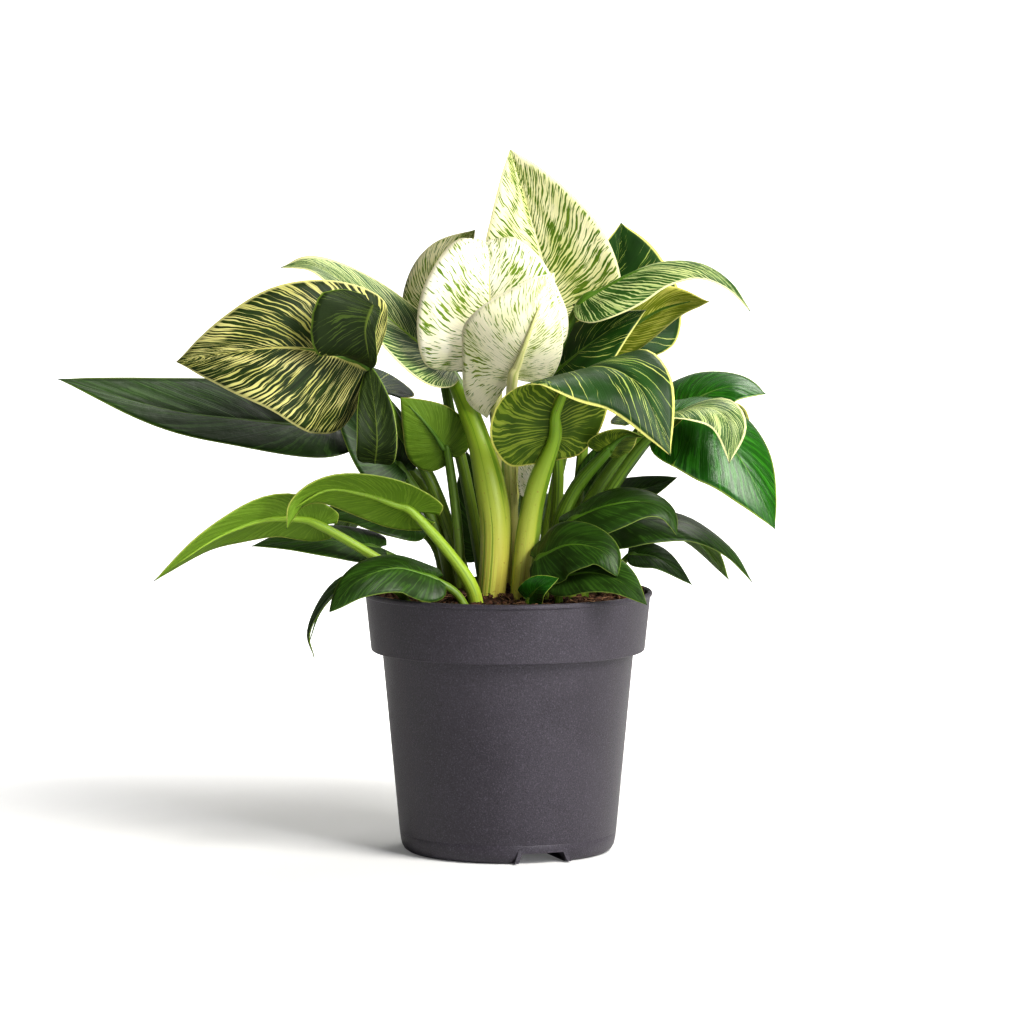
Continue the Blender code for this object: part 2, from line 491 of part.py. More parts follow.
    leaf("leaf_low_right_long", (0.04, 0.11, 0.03), petiole=[(31, -3, 100), (34, -3, 120)],
         radii=[2.2, 1.9], size=MEDIUM,
         rib=[(40, -1, 134), (56, 0, 140), (76, 2, 138), (93, 4, 127), (103, 4, 113)],
         up=[(0.1, -0.3, 0.95), (0.6, -0.3, 0.7)], width=(15, 15), fold=(-5, -5), curl=(-20, -20),
         lobe=0.06, wave=1, waves=2)
    leaf("leaf_low_right_d", (0.04, 0.11, 0.03), petiole=[(38, 10, 100), (44, 12, 114)], radii=[1.6, 1.5],
         size=SMALL, rib=[(51, 14, 124), (64, 14, 122), (78, 12, 111)],
         up=[(0.3, -0.6, 0.8), (0.6, -0.6, 0.5)], width=(8, 8), fold=(5, 5), curl=(-10, -10), lobe=0)
    leaf("leaf_low_right_g", (0.04, 0.11, 0.03), petiole=[(33, 24, 100), (38, 25, 132)], radii=[2.2, 1.9],
         size=SMALL, rib=[(46, 24, 149), (58, 22, 151), (72, 20, 156)],
         up=[(0, -0.6, 0.8), (0, -0.6, 0.8)], width=(9, 9), fold=(5, 5), curl=(-10, -10), lobe=0)
    leaf("leaf_back_tall", (0.04, 0.11, 0.03), petiole=[(0, 26, 100), (-2, 32, 150), (-6, 40, 185)],
         radii=[3.2, 2.6, 2.2], size=LARGE,
         rib=[(-8, 50, 205), (-10, 66, 222), (-14, 86, 230), (-18, 108, 222)],
         up=[(0, -0.6, 0.8), (0, 0.3, 0.95)], width=(28, 28), fold=(8, 8), curl=(-20, -20), lobe=0.1)
    leaf("leaf_back_left_wide", (0.04, 0.11, 0.03),
         petiole=[(-16, 26, 100), (-30, 38, 145), (-44, 49, 175)], radii=[3, 2.4, 2], size=MEDIUM,
         rib=[(-54, 56, 190), (-72, 68, 200), (-92, 80, 198), (-110, 92, 184)],
         up=[(0.3, -0.2, 0.9), (-0.3, 0.3, 0.9)], width=(26, 26), fold=(8, 8), curl=(-20, -20), lobe=0.1)
    leaf("leaf_back_right_wide", (0.04, 0.11, 0.03),
         petiole=[(16, 30, 100), (34, 42, 140), (50, 50, 165)], radii=[3, 2.4, 2], size=MEDIUM,
         rib=[(58, 54, 178), (74, 66, 186), (92, 78, 182), (106, 88, 166)],
         up=[(-0.3, -0.2, 0.9), (0.3, 0.3, 0.9)], width=(26, 26), fold=(8, 8), curl=(-20, -20), lobe=0.1)
    leaf("leaf_back_low_left", (0.04, 0.11, 0.03), petiole=[(-14, 38, 100), (-24, 46, 120)],
         radii=[2.2, 1.9], size=SMALL,
         rib=[(-34, 54, 134), (-50, 66, 142), (-66, 78, 136), (-78, 88, 118)],
         up=[(0, 0, 1), (-0.4, 0.4, 0.8)], width=(18, 18), fold=(5, 5), curl=(-20, -20), lobe=0.06)
    leaf("leaf_back_low_mid", (0.04, 0.11, 0.03), petiole=[(4, 40, 100), (6, 50, 122)], radii=[2.2, 1.9],
         size=SMALL, rib=[(8, 60, 136), (12, 76, 144), (16, 92, 138), (18, 104, 120)],
         up=[(0, -0.1, 1), (0, 0.6, 0.8)], width=(18, 18), fold=(5, 5), curl=(-20, -20), lobe=0.06)
    leaf("leaf_back_low_right", (0.04, 0.11, 0.03), petiole=[(24, 34, 100), (34, 38, 116)],
         radii=[2.2, 1.9], size=SMALL, rib=[(46, 42, 126), (64, 50, 132), (82, 58, 126), (96, 64, 108)],
         up=[(0, 0, 1), (0.4, 0.4, 0.8)], width=(17, 17), fold=(5, 5), curl=(-20, -20), lobe=0.06)
    leaf("leaf_inner_dark_left", (0.04, 0.11, 0.03), petiole=[(-6, 44, 100), (-8, 48, 112)],
         radii=[2.2, 1.9], size=SMALL, rib=[(-10, 50, 118), (-14, 52, 140), (-18, 52, 165)],
         up=[(0, -1, 0.1), (0, -1, 0.2)], width=(12, 15), fold=(5, 5), curl=(-15, -15), lobe=0)
    leaf("leaf_inner_dark_right", (0.04, 0.11, 0.03), petiole=[(21, 21, 100), (27, 29, 115)],
         radii=[2.2, 1.9], size=SMALL, rib=[(31, 33, 124), (39, 34, 145), (46, 34, 168)],
         up=[(0, -1, 0.1), (0, -1, 0.2)], width=(12, 9), fold=(5, 5), curl=(-15, -15), lobe=0)


clear_scene()
leaves()
pot()
soil()
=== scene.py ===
import bpy
import random
from math import sin, cos, pi, radians, exp, hypot, atan2
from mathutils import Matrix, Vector


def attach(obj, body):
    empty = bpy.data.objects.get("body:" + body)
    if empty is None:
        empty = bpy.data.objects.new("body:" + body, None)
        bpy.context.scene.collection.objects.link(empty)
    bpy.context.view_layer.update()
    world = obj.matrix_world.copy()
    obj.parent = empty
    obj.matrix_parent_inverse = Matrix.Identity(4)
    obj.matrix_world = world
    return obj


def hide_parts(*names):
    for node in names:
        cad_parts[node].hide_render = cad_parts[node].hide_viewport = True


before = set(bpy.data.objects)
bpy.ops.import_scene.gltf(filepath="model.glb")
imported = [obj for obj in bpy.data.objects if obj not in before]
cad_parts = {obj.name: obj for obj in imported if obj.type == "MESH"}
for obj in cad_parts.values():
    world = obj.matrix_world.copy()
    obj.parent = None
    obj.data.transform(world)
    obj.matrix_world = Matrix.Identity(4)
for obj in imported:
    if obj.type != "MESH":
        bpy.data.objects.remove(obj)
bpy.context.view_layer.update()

# Newest leaf, standing on top of the plant. A thin soft blade, cream with broken
# green dashes along its side veins, still half furled so that its left half is
# turned to the viewer. Made as a grid of side veins bent round the midrib.
# All lengths of the leaves are in millimetres, angles in degrees.


def srgb(code):
    """Colour written as a web code, turned to linear light with full alpha."""
    parts = [int(code[k:k + 2], 16) / 255 for k in (1, 3, 5)]
    linear = [p / 12.92 if p <= 0.04045 else ((p + 0.055) / 1.055) ** 2.4 for p in parts]
    return linear + [1.0]


def new_material(name):
    mat = bpy.data.materials.new(name)
    mat.use_nodes = True
    mat.node_tree.nodes.clear()
    return mat


def add(mat, kind, inputs=None, **settings):
    """Adds one shader node; an input is either a value or another node's output."""
    made = mat.node_tree.nodes.new("ShaderNode" + kind)
    for key, value in settings.items():
        setattr(made, key, value)
    for key, value in (inputs or {}).items():
        if isinstance(value, bpy.types.NodeSocket):
            mat.node_tree.links.new(value, made.inputs[key])
        else:
            made.inputs[key].default_value = value
    return made


def calc(mat, operation, a, b=0.0, c=0.0):
    return add(mat, "Math", {0: a, 1: b, 2: c}, operation=operation).outputs[0]


def ramp(mat, value, low, high, out_low=0.0, out_high=1.0):
    """Value taken from low..high to out_low..out_high, eased and held at the ends."""
    made = add(mat, "MapRange", {"Value": value, "From Min": low, "From Max": high,
                                 "To Min": out_low, "To Max": out_high},
               interpolation_type="SMOOTHSTEP")
    return made.outputs["Result"]


def blend(mat, factor, one, two):
    """Colour mixed from one to two; each is a web code or a socket."""
    made = add(mat, "Mix", {"Factor": factor}, data_type="RGBA")
    for slot, colour in ((6, one), (7, two)):
        if isinstance(colour, str):
            made.inputs[slot].default_value = srgb(colour)
        else:
            mat.node_tree.links.new(colour, made.inputs[slot])
    return made.outputs[2]


def add_noise(mat, vector, scale, detail=2.0, roughness=0.55):
    made = add(mat, "TexNoise", {"Vector": vector, "Scale": scale, "Detail": detail,
                                 "Roughness": roughness})
    return made.outputs["Fac"]


def leaf_material(name, ground, shade, stripe, stripe_shade, cover, lines, run, rib, margin,
                  edge=0.97, patch=0.35, rough=0.45, coat=0.0, relief=0.25, glow=0.12):
    """Leaf skin. Stripes and dashes are noise drawn out along the side veins: t counts the
    veins from base to tip and s runs from the midrib to the margins."""
    mat = new_material(name)
    place = add(mat, "Attribute", attribute_name="vein").outputs["Vector"]
    split = add(mat, "SeparateXYZ", {0: place})
    t, s, seed = split.outputs[0], split.outputs[1], split.outputs[2]
    away = calc(mat, "ABSOLUTE", s)

    def streaks(count, stretch, shift, detail, across=t):
        x = calc(mat, "MULTIPLY_ADD", across, count, calc(mat, "MULTIPLY", seed, 13.7 + shift))
        y = calc(mat, "MULTIPLY_ADD", s, stretch, calc(mat, "MULTIPLY", seed, 5.1 + shift))
        where = add(mat, "CombineXYZ", {0: x, 1: y, 2: shift}).outputs[0]
        return add_noise(mat, where, 1.0, detail)

    patches = streaks(5.0, 2.2, 2.0, 1.0)
    sway = calc(mat, "SUBTRACT", streaks(8.0, 2.6, 4.0, 2.0), 0.5)
    drift = calc(mat, "MULTIPLY_ADD", sway, 0.04, t)
    even = calc(mat, "SINE", calc(mat, "MULTIPLY", drift, 2 * pi * 0.42 * lines))
    dashes = streaks(lines, run, 1.0, 2.5, drift)
    dashes = calc(mat, "MULTIPLY_ADD", dashes, 0.9, calc(mat, "MULTIPLY_ADD", even, 0.05, 0.05))
    fine = streaks(lines * 2.7, run * 0.6, 3.0, 2.0)
    shift = calc(mat, "MULTIPLY", calc(mat, "SUBTRACT", patches, 0.5), patch)
    value = calc(mat, "ADD", dashes, shift)
    noise_spread = 0.36      # how far the limit between ground and stripe moves with cover
    soft_edge = 0.025        # half the width of a dash's soft edge, in noise value
    level = 0.5 + noise_spread * (0.5 - cover)
    mask = ramp(mat, value, level - soft_edge, level + soft_edge)
    base = blend(mat, ramp(mat, patches, 0.3, 0.7), ground, shade)
    mark = blend(mat, ramp(mat, fine, 0.35, 0.65), stripe, stripe_shade)
    skin = blend(mat, mask, base, mark)
    skin = blend(mat, ramp(mat, away, 0.015, 0.05, 0.85, 0.0), skin, rib)
    skin = blend(mat, ramp(mat, away, edge - 0.02, edge + 0.01, 0.0, 0.9), skin, margin)
    tone = ramp(mat, fine, 0.25, 0.75, 0.88, 1.1)
    lit = add(mat, "Mix", {"Factor": 1.0, 6: skin}, data_type="RGBA", blend_type="MULTIPLY")
    grey = add(mat, "CombineColor", {0: tone, 1: tone, 2: tone}).outputs[0]
    mat.node_tree.links.new(grey, lit.inputs[7])
    skin = lit.outputs[2]
    ridges = 11              # raised side veins on each half of a blade
    veins = calc(mat, "SINE", calc(mat, "MULTIPLY", t, 2 * pi * ridges))
    height = calc(mat, "ADD", calc(mat, "MULTIPLY", veins, 0.45), calc(mat, "MULTIPLY", fine, 0.9))
    dents = add_noise(mat, add(mat, "TexCoord").outputs["Object"], 170.0, 3.0, 0.6)
    height = calc(mat, "MULTIPLY_ADD", dents, 2.0, height)
    bump = add(mat, "Bump", {"Height": height, "Strength": relief, "Distance": 0.0006}).outputs[0]
    gloss = ramp(mat, fine, 0.3, 0.7, rough - 0.06, rough + 0.08)
    shell = add(mat, "BsdfPrincipled", {"Base Color": skin, "Roughness": gloss, "Normal": bump,
                                        "Coat Weight": coat, "Coat Roughness": 0.22,
                                        "Specular IOR Level": 0.2})
    through = add(mat, "BsdfTranslucent", {"Color": skin, "Normal": bump})
    both = add(mat, "MixShader", {0: glow, 1: shell.outputs[0], 2: through.outputs[0]})
    return finished(mat, both)


def finished(mat, shader):
    mat.node_tree.links.new(shader.outputs[0], add(mat, "OutputMaterial").inputs[0])
    return mat


def stem_material(name, low, high, line, stain):
    """Leaf stalk: pale at the foot, greener upwards, with green lines along it and a
    brown stain at the foot and in small flecks."""
    mat = new_material(name)
    place = add(mat, "Attribute", attribute_name="vein").outputs["Vector"]
    split = add(mat, "SeparateXYZ", {0: place})
    along, round_, seed = split.outputs[0], split.outputs[1], split.outputs[2]
    x = calc(mat, "MULTIPLY_ADD", along, 2.0, calc(mat, "MULTIPLY", seed, 3.3))
    where = add(mat, "CombineXYZ", {0: x, 1: calc(mat, "MULTIPLY", round_, 13.0), 2: seed})
    lines = add_noise(mat, where.outputs[0], 1.0, 4.0)
    skin = blend(mat, ramp(mat, along, -0.1, 0.5), low, high)
    skin = blend(mat, ramp(mat, lines, 0.5, 0.62, 0.0, 0.75), skin, line)
    foot = ramp(mat, along, 0.03, 0.2, 0.35, 0.0)
    stained = calc(mat, "MULTIPLY", ramp(mat, lines, 0.5, 0.4), foot)
    skin = blend(mat, stained, skin, stain)
    spots = add_noise(mat, add(mat, "TexCoord").outputs["Object"], 900.0, 2.0)
    skin = blend(mat, ramp(mat, spots, 0.66, 0.74, 0.0, 0.5), skin, stain)
    bump = add(mat, "Bump", {"Height": lines, "Strength": 0.4, "Distance": 0.0008}).outputs[0]
    shell = add(mat, "BsdfPrincipled", {"Base Color": skin, "Roughness": 0.4, "Normal": bump,
                                        "Coat Weight": 0.08, "Coat Roughness": 0.3,
                                        "Specular IOR Level": 0.3})
    return finished(mat, shell)


def spline(points, u):
    """Smooth curve through the points, u from 0 to 1, points evenly spaced in u."""
    pts = points if isinstance(points[0], Vector) else [Vector(p) for p in points]
    last = len(pts) - 1
    place = min(max(u, 0.0), 1.0) * last
    k = min(int(place), last - 1)
    f = place - k
    b, c = pts[k], pts[k + 1]
    a = pts[k - 1] if k > 0 else 2 * pts[0] - pts[1]
    d = pts[k + 2] if k + 2 <= last else 2 * pts[-1] - pts[-2]
    return 0.5 * (2 * b + (c - a) * f + (2 * a - 5 * b + 4 * c - d) * f * f
                  + (3 * b - a - 3 * c + d) * f ** 3)


def ease(low, high, x):
    f = min(max((x - low) / (high - low), 0.0), 1.0)
    return f * f * (3 - 2 * f)


def pair(value):
    return value if isinstance(value, tuple) else (value, value)


class Rib:
    """Midrib of a blade: place, direction and upward side at a distance along it."""

    def __init__(self, points, up, steps=60):
        self.points = [spline(points, i / steps) for i in range(steps + 1)]
        self.at = [0.0]
        for a, b in zip(self.points, self.points[1:]):
            self.at.append(self.at[-1] + (b - a).length)
        self.length = self.at[-1]
        ends = [self.points[0]] + self.points + [self.points[-1]]
        self.ways = [(c - a).normalized() for a, c in zip(ends, ends[2:])]
        self.up = [Vector(v).normalized() for v in (up[0], up[-1])]

    def frame(self, x):
        f = min(max(x / self.length, 0.0), 1.0)
        want = f * self.length
        k = min(int(f * (len(self.at) - 1)), len(self.at) - 2)
        while k > 0 and self.at[k] > want:
            k -= 1
        while k < len(self.at) - 2 and self.at[k + 1] < want:
            k += 1
        part = (want - self.at[k]) / (self.at[k + 1] - self.at[k])
        place = self.points[k].lerp(self.points[k + 1], part)
        along = self.ways[k].lerp(self.ways[k + 1], part).normalized()
        place = place + along * (x - want)
        up = self.up[0].lerp(self.up[1], f).normalized()
        up = (up - along * up.dot(along)).normalized()
        return place, along, up, along.cross(up)


# Half outline of a flat blade: share of its length, share of its half width.
OUTLINE = [(-1.0, 0.16), (-0.80, 0.60), (0.06, 0.93), (0.25, 1.0), (0.48, 0.86),
           (0.70, 0.56), (0.87, 0.26), (0.955, 0.085), (1.0, 0.0)]
VEIN_SWEEP = 2.3         # power that keeps the first side veins close to the leaf's foot
BOW_ALONG = 0.32         # how far along its way a side vein bends toward the tip
BOW_OUT = 0.62           # how far out it has got by then, as a share of the half width


def blade_point(rib, shape, t, s):
    """Middle of the blade on side vein t, at s from -1 (left margin) to 1 (right margin),
    with the distance from the midrib and the share of the length."""
    side = 1 if s >= 0 else 0
    a = abs(s)
    lobe = pair(shape["lobe"])[side]
    edge = spline([(x * lobe if x < 0 else x, y, 0.0) for x, y in OUTLINE], t)
    edge.y = max(edge.y, 0.0) ** shape["blunt"]
    foot = t ** VEIN_SWEEP
    bow = foot + BOW_ALONG * (edge.x - foot)
    flat_x = foot * (1 - a) ** 2 + bow * 2 * a * (1 - a) + edge.x * a * a
    flat_y = BOW_OUT * edge.y * 2 * a * (1 - a) + edge.y * a * a
    half = pair(shape["width"])[side]
    out = flat_y * half
    fold = radians(pair(shape["fold"])[side])
    turn = pair(shape["curl"])[side]
    turn += (1 - ease(-0.05, 0.45, flat_x)) * pair(shape["base_curl"])[side]
    turn += ease(0.5, 1.0, flat_x) * pair(shape["tip_curl"])[side]
    k = radians(turn if abs(turn) > 0.01 else 0.01) / half
    across = (sin(fold + k * out) - sin(fold)) / k
    lift = (cos(fold) - cos(fold + k * out)) / k
    lift += shape["wave"] * flat_y ** 2 * sin(2 * pi * shape["waves"] * t + 2.0 * (1 - side))
    place, along, up, right = rib.frame(flat_x * rib.length)
    return place + right * across * (1 if s >= 0 else -1) + up * lift, out, flat_x


HALF_BLADE = 0.24        # half the thickness of a blade away from its margins
GROOVE = 0.45            # depth of the midrib's groove on the upper side
RIB_SWELL = 0.5          # height of the midrib on the underside
CROWDING = 1.35          # power that crowds the columns of a blade toward its midrib


def blade_mesh(shape, seed, rows, cols):
    """Closed thin blade: points above, points below, faces, and the vein place of each."""
    rib = Rib(shape["rib"], shape["up"])
    across = [(j / cols) ** CROWDING for j in range(1, cols + 1)]
    across = [-a for a in reversed(across)] + [0.0] + across
    wide = len(across)
    mid, data = [], []
    for i in range(rows + 1):
        t = i / rows
        for s in across if i < rows else [0.0]:
            point, out, share = blade_point(rib, shape, t, s)
            mid.append(point)
            data.append((t, s, out, share))
    cells = []
    for i in range(rows - 1):
        for j in range(wide - 1):
            a = i * wide + j
            cells.append((a, a + 1, a + wide + 1, a + wide))
    last, tip = (rows - 1) * wide, rows * wide
    cells += [(last + j, last + j + 1, tip) for j in range(wide - 1)]
    normals = [Vector((0, 0, 0)) for _ in mid]
    for face in cells:
        n = (mid[face[1]] - mid[face[0]]).cross(mid[face[2]] - mid[face[0]])
        for k in face:
            normals[k] += n
    above, below = [], []
    for point, n, (t, s, out, share) in zip(mid, normals, data):
        n = n.normalized()
        groove = exp(-(out / 1.1) ** 2) * (1 - share)
        thick = HALF_BLADE * (1 - 0.5 * abs(s) ** 6)
        above.append(point + n * (thick - GROOVE * groove))
        below.append(point - n * (thick + RIB_SWELL * exp(-(out / 1.5) ** 2) * (1 - share)))
    shift = len(mid)
    edge = list(range(wide)) + [i * wide + wide - 1 for i in range(1, rows)]
    edge += [tip] + [i * wide for i in range(rows - 1, 0, -1)]
    faces = [(f, 0) for f in cells] + [(tuple(reversed([k + shift for k in f])), 1) for f in cells]
    for a, b in zip(edge, edge[1:] + edge[:1]):
        faces.append(((b, a, a + shift, b + shift), 0))
    vein = [(t, s, seed) for t, s, out, share in data] * 2
    return above + below, faces, vein


def stalk_mesh(points, radii, seed, sides=14, steps=30, slot=2):
    """Round stalk through the points with closed ends."""
    verts, faces, vein = [], [], []
    points = [Vector(p) for p in points]
    for i in range(steps + 1):
        u = i / steps
        place = spline(points, u)
        along = (spline(points, min(u + 0.01, 1)) - spline(points, max(u - 0.01, 0))).normalized()
        a = along.cross(Vector((0.3, 1, 0.1))).normalized()
        b = along.cross(a)
        pos = u * (len(radii) - 1)
        k = min(int(pos), len(radii) - 2)
        f = pos - k
        r = radii[k] + (radii[k + 1] - radii[k]) * f * f * (3 - 2 * f)
        for j in range(sides):
            turn = 2 * pi * j / sides
            verts.append(place + (a * cos(turn) + b * sin(turn)) * r)
            vein.append((u, sin(turn / 2), seed))
    for i in range(steps):
        for j in range(sides):
            a, b = i * sides + j, i * sides + (j + 1) % sides
            faces.append(((b, a, a + sides, b + sides), slot))
    faces.append((tuple(range(sides)), slot))
    faces.append((tuple(reversed(range(steps * sides, (steps + 1) * sides))), slot))
    return verts, faces, vein


MILLIMETRE = 0.001


def join_meshes(name, parts, materials):
    """One object from several point, face and vein lists, in metres."""
    verts, faces, slots, vein = [], [], [], []
    for points, shapes, marks in parts:
        start = len(verts)
        verts += [tuple(p * MILLIMETRE) for p in points]
        faces += [tuple(k + start for k in face) for face, slot in shapes]
        slots += [slot for face, slot in shapes]
        vein += marks
    mesh = bpy.data.meshes.new(name)
    mesh.from_pydata(verts, [], faces)
    mesh.polygons.foreach_set("material_index", slots)
    mesh.polygons.foreach_set("use_smooth", [True] * len(faces))
    mark = mesh.attributes.new("vein", "FLOAT_VECTOR", "POINT")
    mark.data.foreach_set("vector", [x for row in vein for x in row])
    for mat in materials:
        mesh.materials.append(mat)
    mesh.update()
    obj = bpy.data.objects.new(name, mesh)
    bpy.context.scene.collection.objects.link(obj)
    return obj


leaf_count = 0


def add_leaf(node, slot, skins, petiole, radii, flaps=(), **shape):
    """One leaf for one CAD node: its stalk, its blade and any lobes folded over it."""
    global leaf_count
    leaf_count += 1
    seed = leaf_count * 0.37
    shape = {"fold": 5.0, "curl": -20.0, "base_curl": 0.0, "tip_curl": 0.0,
             "lobe": 0.06, "wave": 0.0, "waves": 2.0, "blunt": 1.0, **shape}
    size = (44, 13) if max(pair(shape["width"])) > 20 else (34, 10)
    rib = Rib(shape["rib"], shape["up"])
    parts = [blade_mesh(shape, seed, *size)]
    for k, flap in enumerate(flaps):
        parts.append(blade_mesh({**shape, **flap}, seed + 0.11 * (k + 1), 24, 8))
    path = [Vector(p) for p in petiole]
    end = radii[-1]
    spread = [Vector((r, 0, 0)) for r in list(radii) + [end * 0.8]]
    grow = [spline(spread, k / (len(petiole) + 1)).x for k in range(len(petiole))]
    for share, keep in ((0.02, 0.95), (0.14, 0.7), (0.35, 0.45), (0.6, 0.28), (0.85, 0.12)):
        place, along, up, right = rib.frame(share * rib.length)
        path.append(place - up * (end * keep * 0.75 + 0.1))
        grow.append(end * keep)
    parts.append(stalk_mesh(path, grow, seed))
    obj = join_meshes(node + "_fine", parts, skins)
    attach(obj, "root")
    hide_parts(node)


# Furled blade: more green than the open cream leaves, in longer dashes.
furled_skin = leaf_material("furled_leaf_upper", "#EFEAC2", "#D3D48E", "#728E2C", "#3C6014", 0.44, 125,
    3.0, "#EFEBC4", "#E6E2B4", patch=0.25, rough=0.5)
# Its underside: duller cream green, the dashes shining through paler.
cream_back = leaf_material("cream_leaf_under", "#F6F2D4", "#E8E8BC", "#9CAE50", "#66801F", 0.3, 130,
    4.2, "#F4F0CE", "#F6F2D6", patch=0.3, rough=0.6, relief=0.12)
# Stalk of a cream leaf: cream green with a pinkish brown stain.
pale_stem = stem_material("cream_leaf_stalk", "#CAC664", "#DCDA9C", "#9CAC4C", "#8A5632")
add_leaf("leaf_top_furled", "leaf_cream", [furled_skin, cream_back, pale_stem],
    petiole=[(0, 14, 100), (2, 18, 150), (12, 20, 190)], radii=[3.4, 2.8, 2.2],
    rib=[(19, 16, 218), (16, 22, 241), (9, 20, 268), (1, 8, 295)], up=[(0.1, -1, 0.2), (0.1, -1, -0.1)],
    width=(30, 32), fold=(28, 18), curl=(-20, 5), lobe=0.1, blunt=0.85)

# Big cream leaf at the front of the crown, open to the viewer, its tip rolled back.
# Its lower part is wrapped by the next leaf.
# Young blade: warm cream with many short thin green dashes, softly satin.
cream_skin = leaf_material("cream_leaf_upper", "#FAF6E4", "#ECEAC4", "#86A030", "#4C7014", 0.32, 130,
    4.6, "#FAF6E0", "#F2EDCB", patch=0.3, rough=0.5, relief=0.15)
add_leaf("leaf_cream_back", "leaf_cream", [cream_skin, cream_back, pale_stem],
    petiole=[(-3, 2, 100), (-5, 2, 140), (-5, -1, 175)], radii=[3, 2.6, 2.2],
    rib=[(-4, -9, 207), (-7, -18, 227), (-8, -15, 247), (-9, -2, 257), (-10, 9, 252)],
    up=[(0, -1, 0.25), (0, -0.1, 1)], width=32, fold=12, curl=-25, lobe=0)

# Cream leaf seen from its underside, cupped round the foot of the leaf behind it,
# with one long lobe down to the left. Its stalk comes up between the two thick ones.
add_leaf("leaf_cream_front", "leaf_cream", [cream_skin, cream_back, pale_stem],
    petiole=[(3, 3, 100), (2, 0, 135), (1, -7, 160), (1, -20, 182)], radii=[2.8, 2.6, 2.4],
    rib=[(2, -30, 201), (8, -40, 218), (14, -42, 234), (19, -36, 245)], up=[(0.1, 1, 0.2), (0, 1, 0.5)],
    width=(18, 27), fold=(10, 5), curl=(30, 18), tip_curl=(0, 70), lobe=(0, 0.45))

# Showpiece leaf at the left, facing the viewer: dark green with cream stripes. Both lobes
# of its heart are folded over to the front and show the underside, painted dark as shade.
# Half green blade: olive cream ground, nearly covered by blackish green broken stripes.
striped_skin = leaf_material("striped_leaf_upper", "#C9C47E", "#A8A756", "#263C09", "#111D02", 0.62,
    135, 1.5, "#BDB867", "#CFCB84", edge=0.98, patch=0.15, rough=0.5, glow=0.04)
# Its underside: olive green painted nearly black as shade, with faint stripes and bright green margins.
striped_back_painted_shade = leaf_material("striped_leaf_under_painted_shade", "#1E2D09", "#182507", "#344714", "#475921", 0.3, 110,
    0.7, "#5E6E29", "#6F8A2E", rough=0.5, glow=0.04)
# Stalk of an older leaf: yellow green at the foot, mid green above.
green_stem = stem_material("green_leaf_stalk", "#7C942A", "#4C7016", "#33520E", "#54401C")
add_leaf("leaf_left_striped", "leaf_striped", [striped_skin, striped_back_painted_shade, green_stem],
    petiole=[(-14, 2, 100), (-30, 4, 150), (-46, -4, 180)], radii=[3.2, 2.6, 2.2],
    rib=[(-57, -18, 204), (-73, -28, 211), (-92, -35, 214), (-114, -37, 212), (-137, -34, 208)],
    up=[(-0.2, -1, 0.15), (-0.15, -1, 0.1)], width=(34, 31), fold=6, curl=(-18, -30), lobe=0,
    flaps=[
        dict(rib=[(-55, -45, 232), (-58, -46, 222), (-57, -37, 210), (-57, -15.5, 204)],
            up=[(0.2, 1, 0.2)], width=(23, 4), fold=(-5, 0), curl=(-15, 0), lobe=(0.06, 0), blunt=0.9),
        dict(rib=[(-55, -31, 166), (-54, -35, 176), (-55, -32, 188), (-58, -16.5, 206)],
            up=[(0, 1, 0), (0, 1, -0.3)], width=8.5, fold=0, curl=-20, lobe=0, blunt=0.75)])

# Longest leaf, far out to the left and nearly level, plain dark green with a grey sheen.
# Old dark blade: nearly plain blackish green, with a broad waxy sheen.
dark_skin = leaf_material("dark_leaf_upper", "#1C3208", "#243F0E", "#2B4A12", "#365618", 0.35, 60, 0.9,
    "#56702A", "#74883A", edge=0.985, rough=0.42, coat=0.06, glow=0.03)
# Its underside: mid green and matt.
dark_back = leaf_material("dark_leaf_under", "#3C5614", "#48641A", "#557226", "#607E2C", 0.35, 60, 0.9,
    "#8A9C42", "#869A3E", edge=0.985, rough=0.55, glow=0.1)
dark_leaf = [dark_skin, dark_back, green_stem]
add_leaf("leaf_left_far_dark", "leaf_dark", dark_leaf,
    petiole=[(-18, 14, 100), (-34, 16, 150), (-56, 14, 170)], radii=[3, 2.4, 2],
    rib=[(-70, 12, 177), (-108, 8, 181), (-144, 4, 186), (-189, 0, 199)], up=[(0, -0.5, 0.85)],
    width=(20, 30), fold=(4, 8), curl=(-20, -10), wave=1.2)

# Arched leaf above the striped one, green with fine white lines, on the thickest stalk,
# which clasps the foot of the crown.
# Green blade with many fine white lines and a cream margin, greyed by its wax.
bright_skin = leaf_material("white_lined_leaf_upper", "#274716", "#345A1E", "#CBCF92", "#8CA25D", 0.4,
    130, 0.7, "#C0C888", "#E4E2A9", edge=0.95, patch=0.2, coat=0.05, glow=0.04)
# Its underside: olive green with pale stripes along the veins.
lined_back = leaf_material("lined_leaf_under", "#384F0C", "#47600F", "#96A43B", "#6A8223", 0.34, 105,
    0.7, "#B0B84D", "#D2D069", edge=0.965, rough=0.5)
# Thick stalk in front: cream at the heart, yellow green above, with green lines.
thick_stem = stem_material("thick_leaf_stalk", "#D2CE62", "#80A41E", "#56800E", "#8A4E22")
add_leaf("leaf_left_upper", "leaf_lined", [bright_skin, lined_back, thick_stem],
    petiole=[(-8, -16, 100), (-5, -16, 132), (-7, -16, 153), (-14, -14, 180)],
    radii=[5.6, 6.6, 6.6, 4.6, 3.2],
    rib=[(-22, 1, 202), (-40, 3, 216), (-58, 2, 231), (-80, -1, 246), (-95, -4, 246)],
    up=[(0.5, -0.5, 0.68), (0.3, -0.4, 0.8)], width=(22, 23), fold=10, curl=(-20, -25), lobe=0.04,
    wave=0.8)

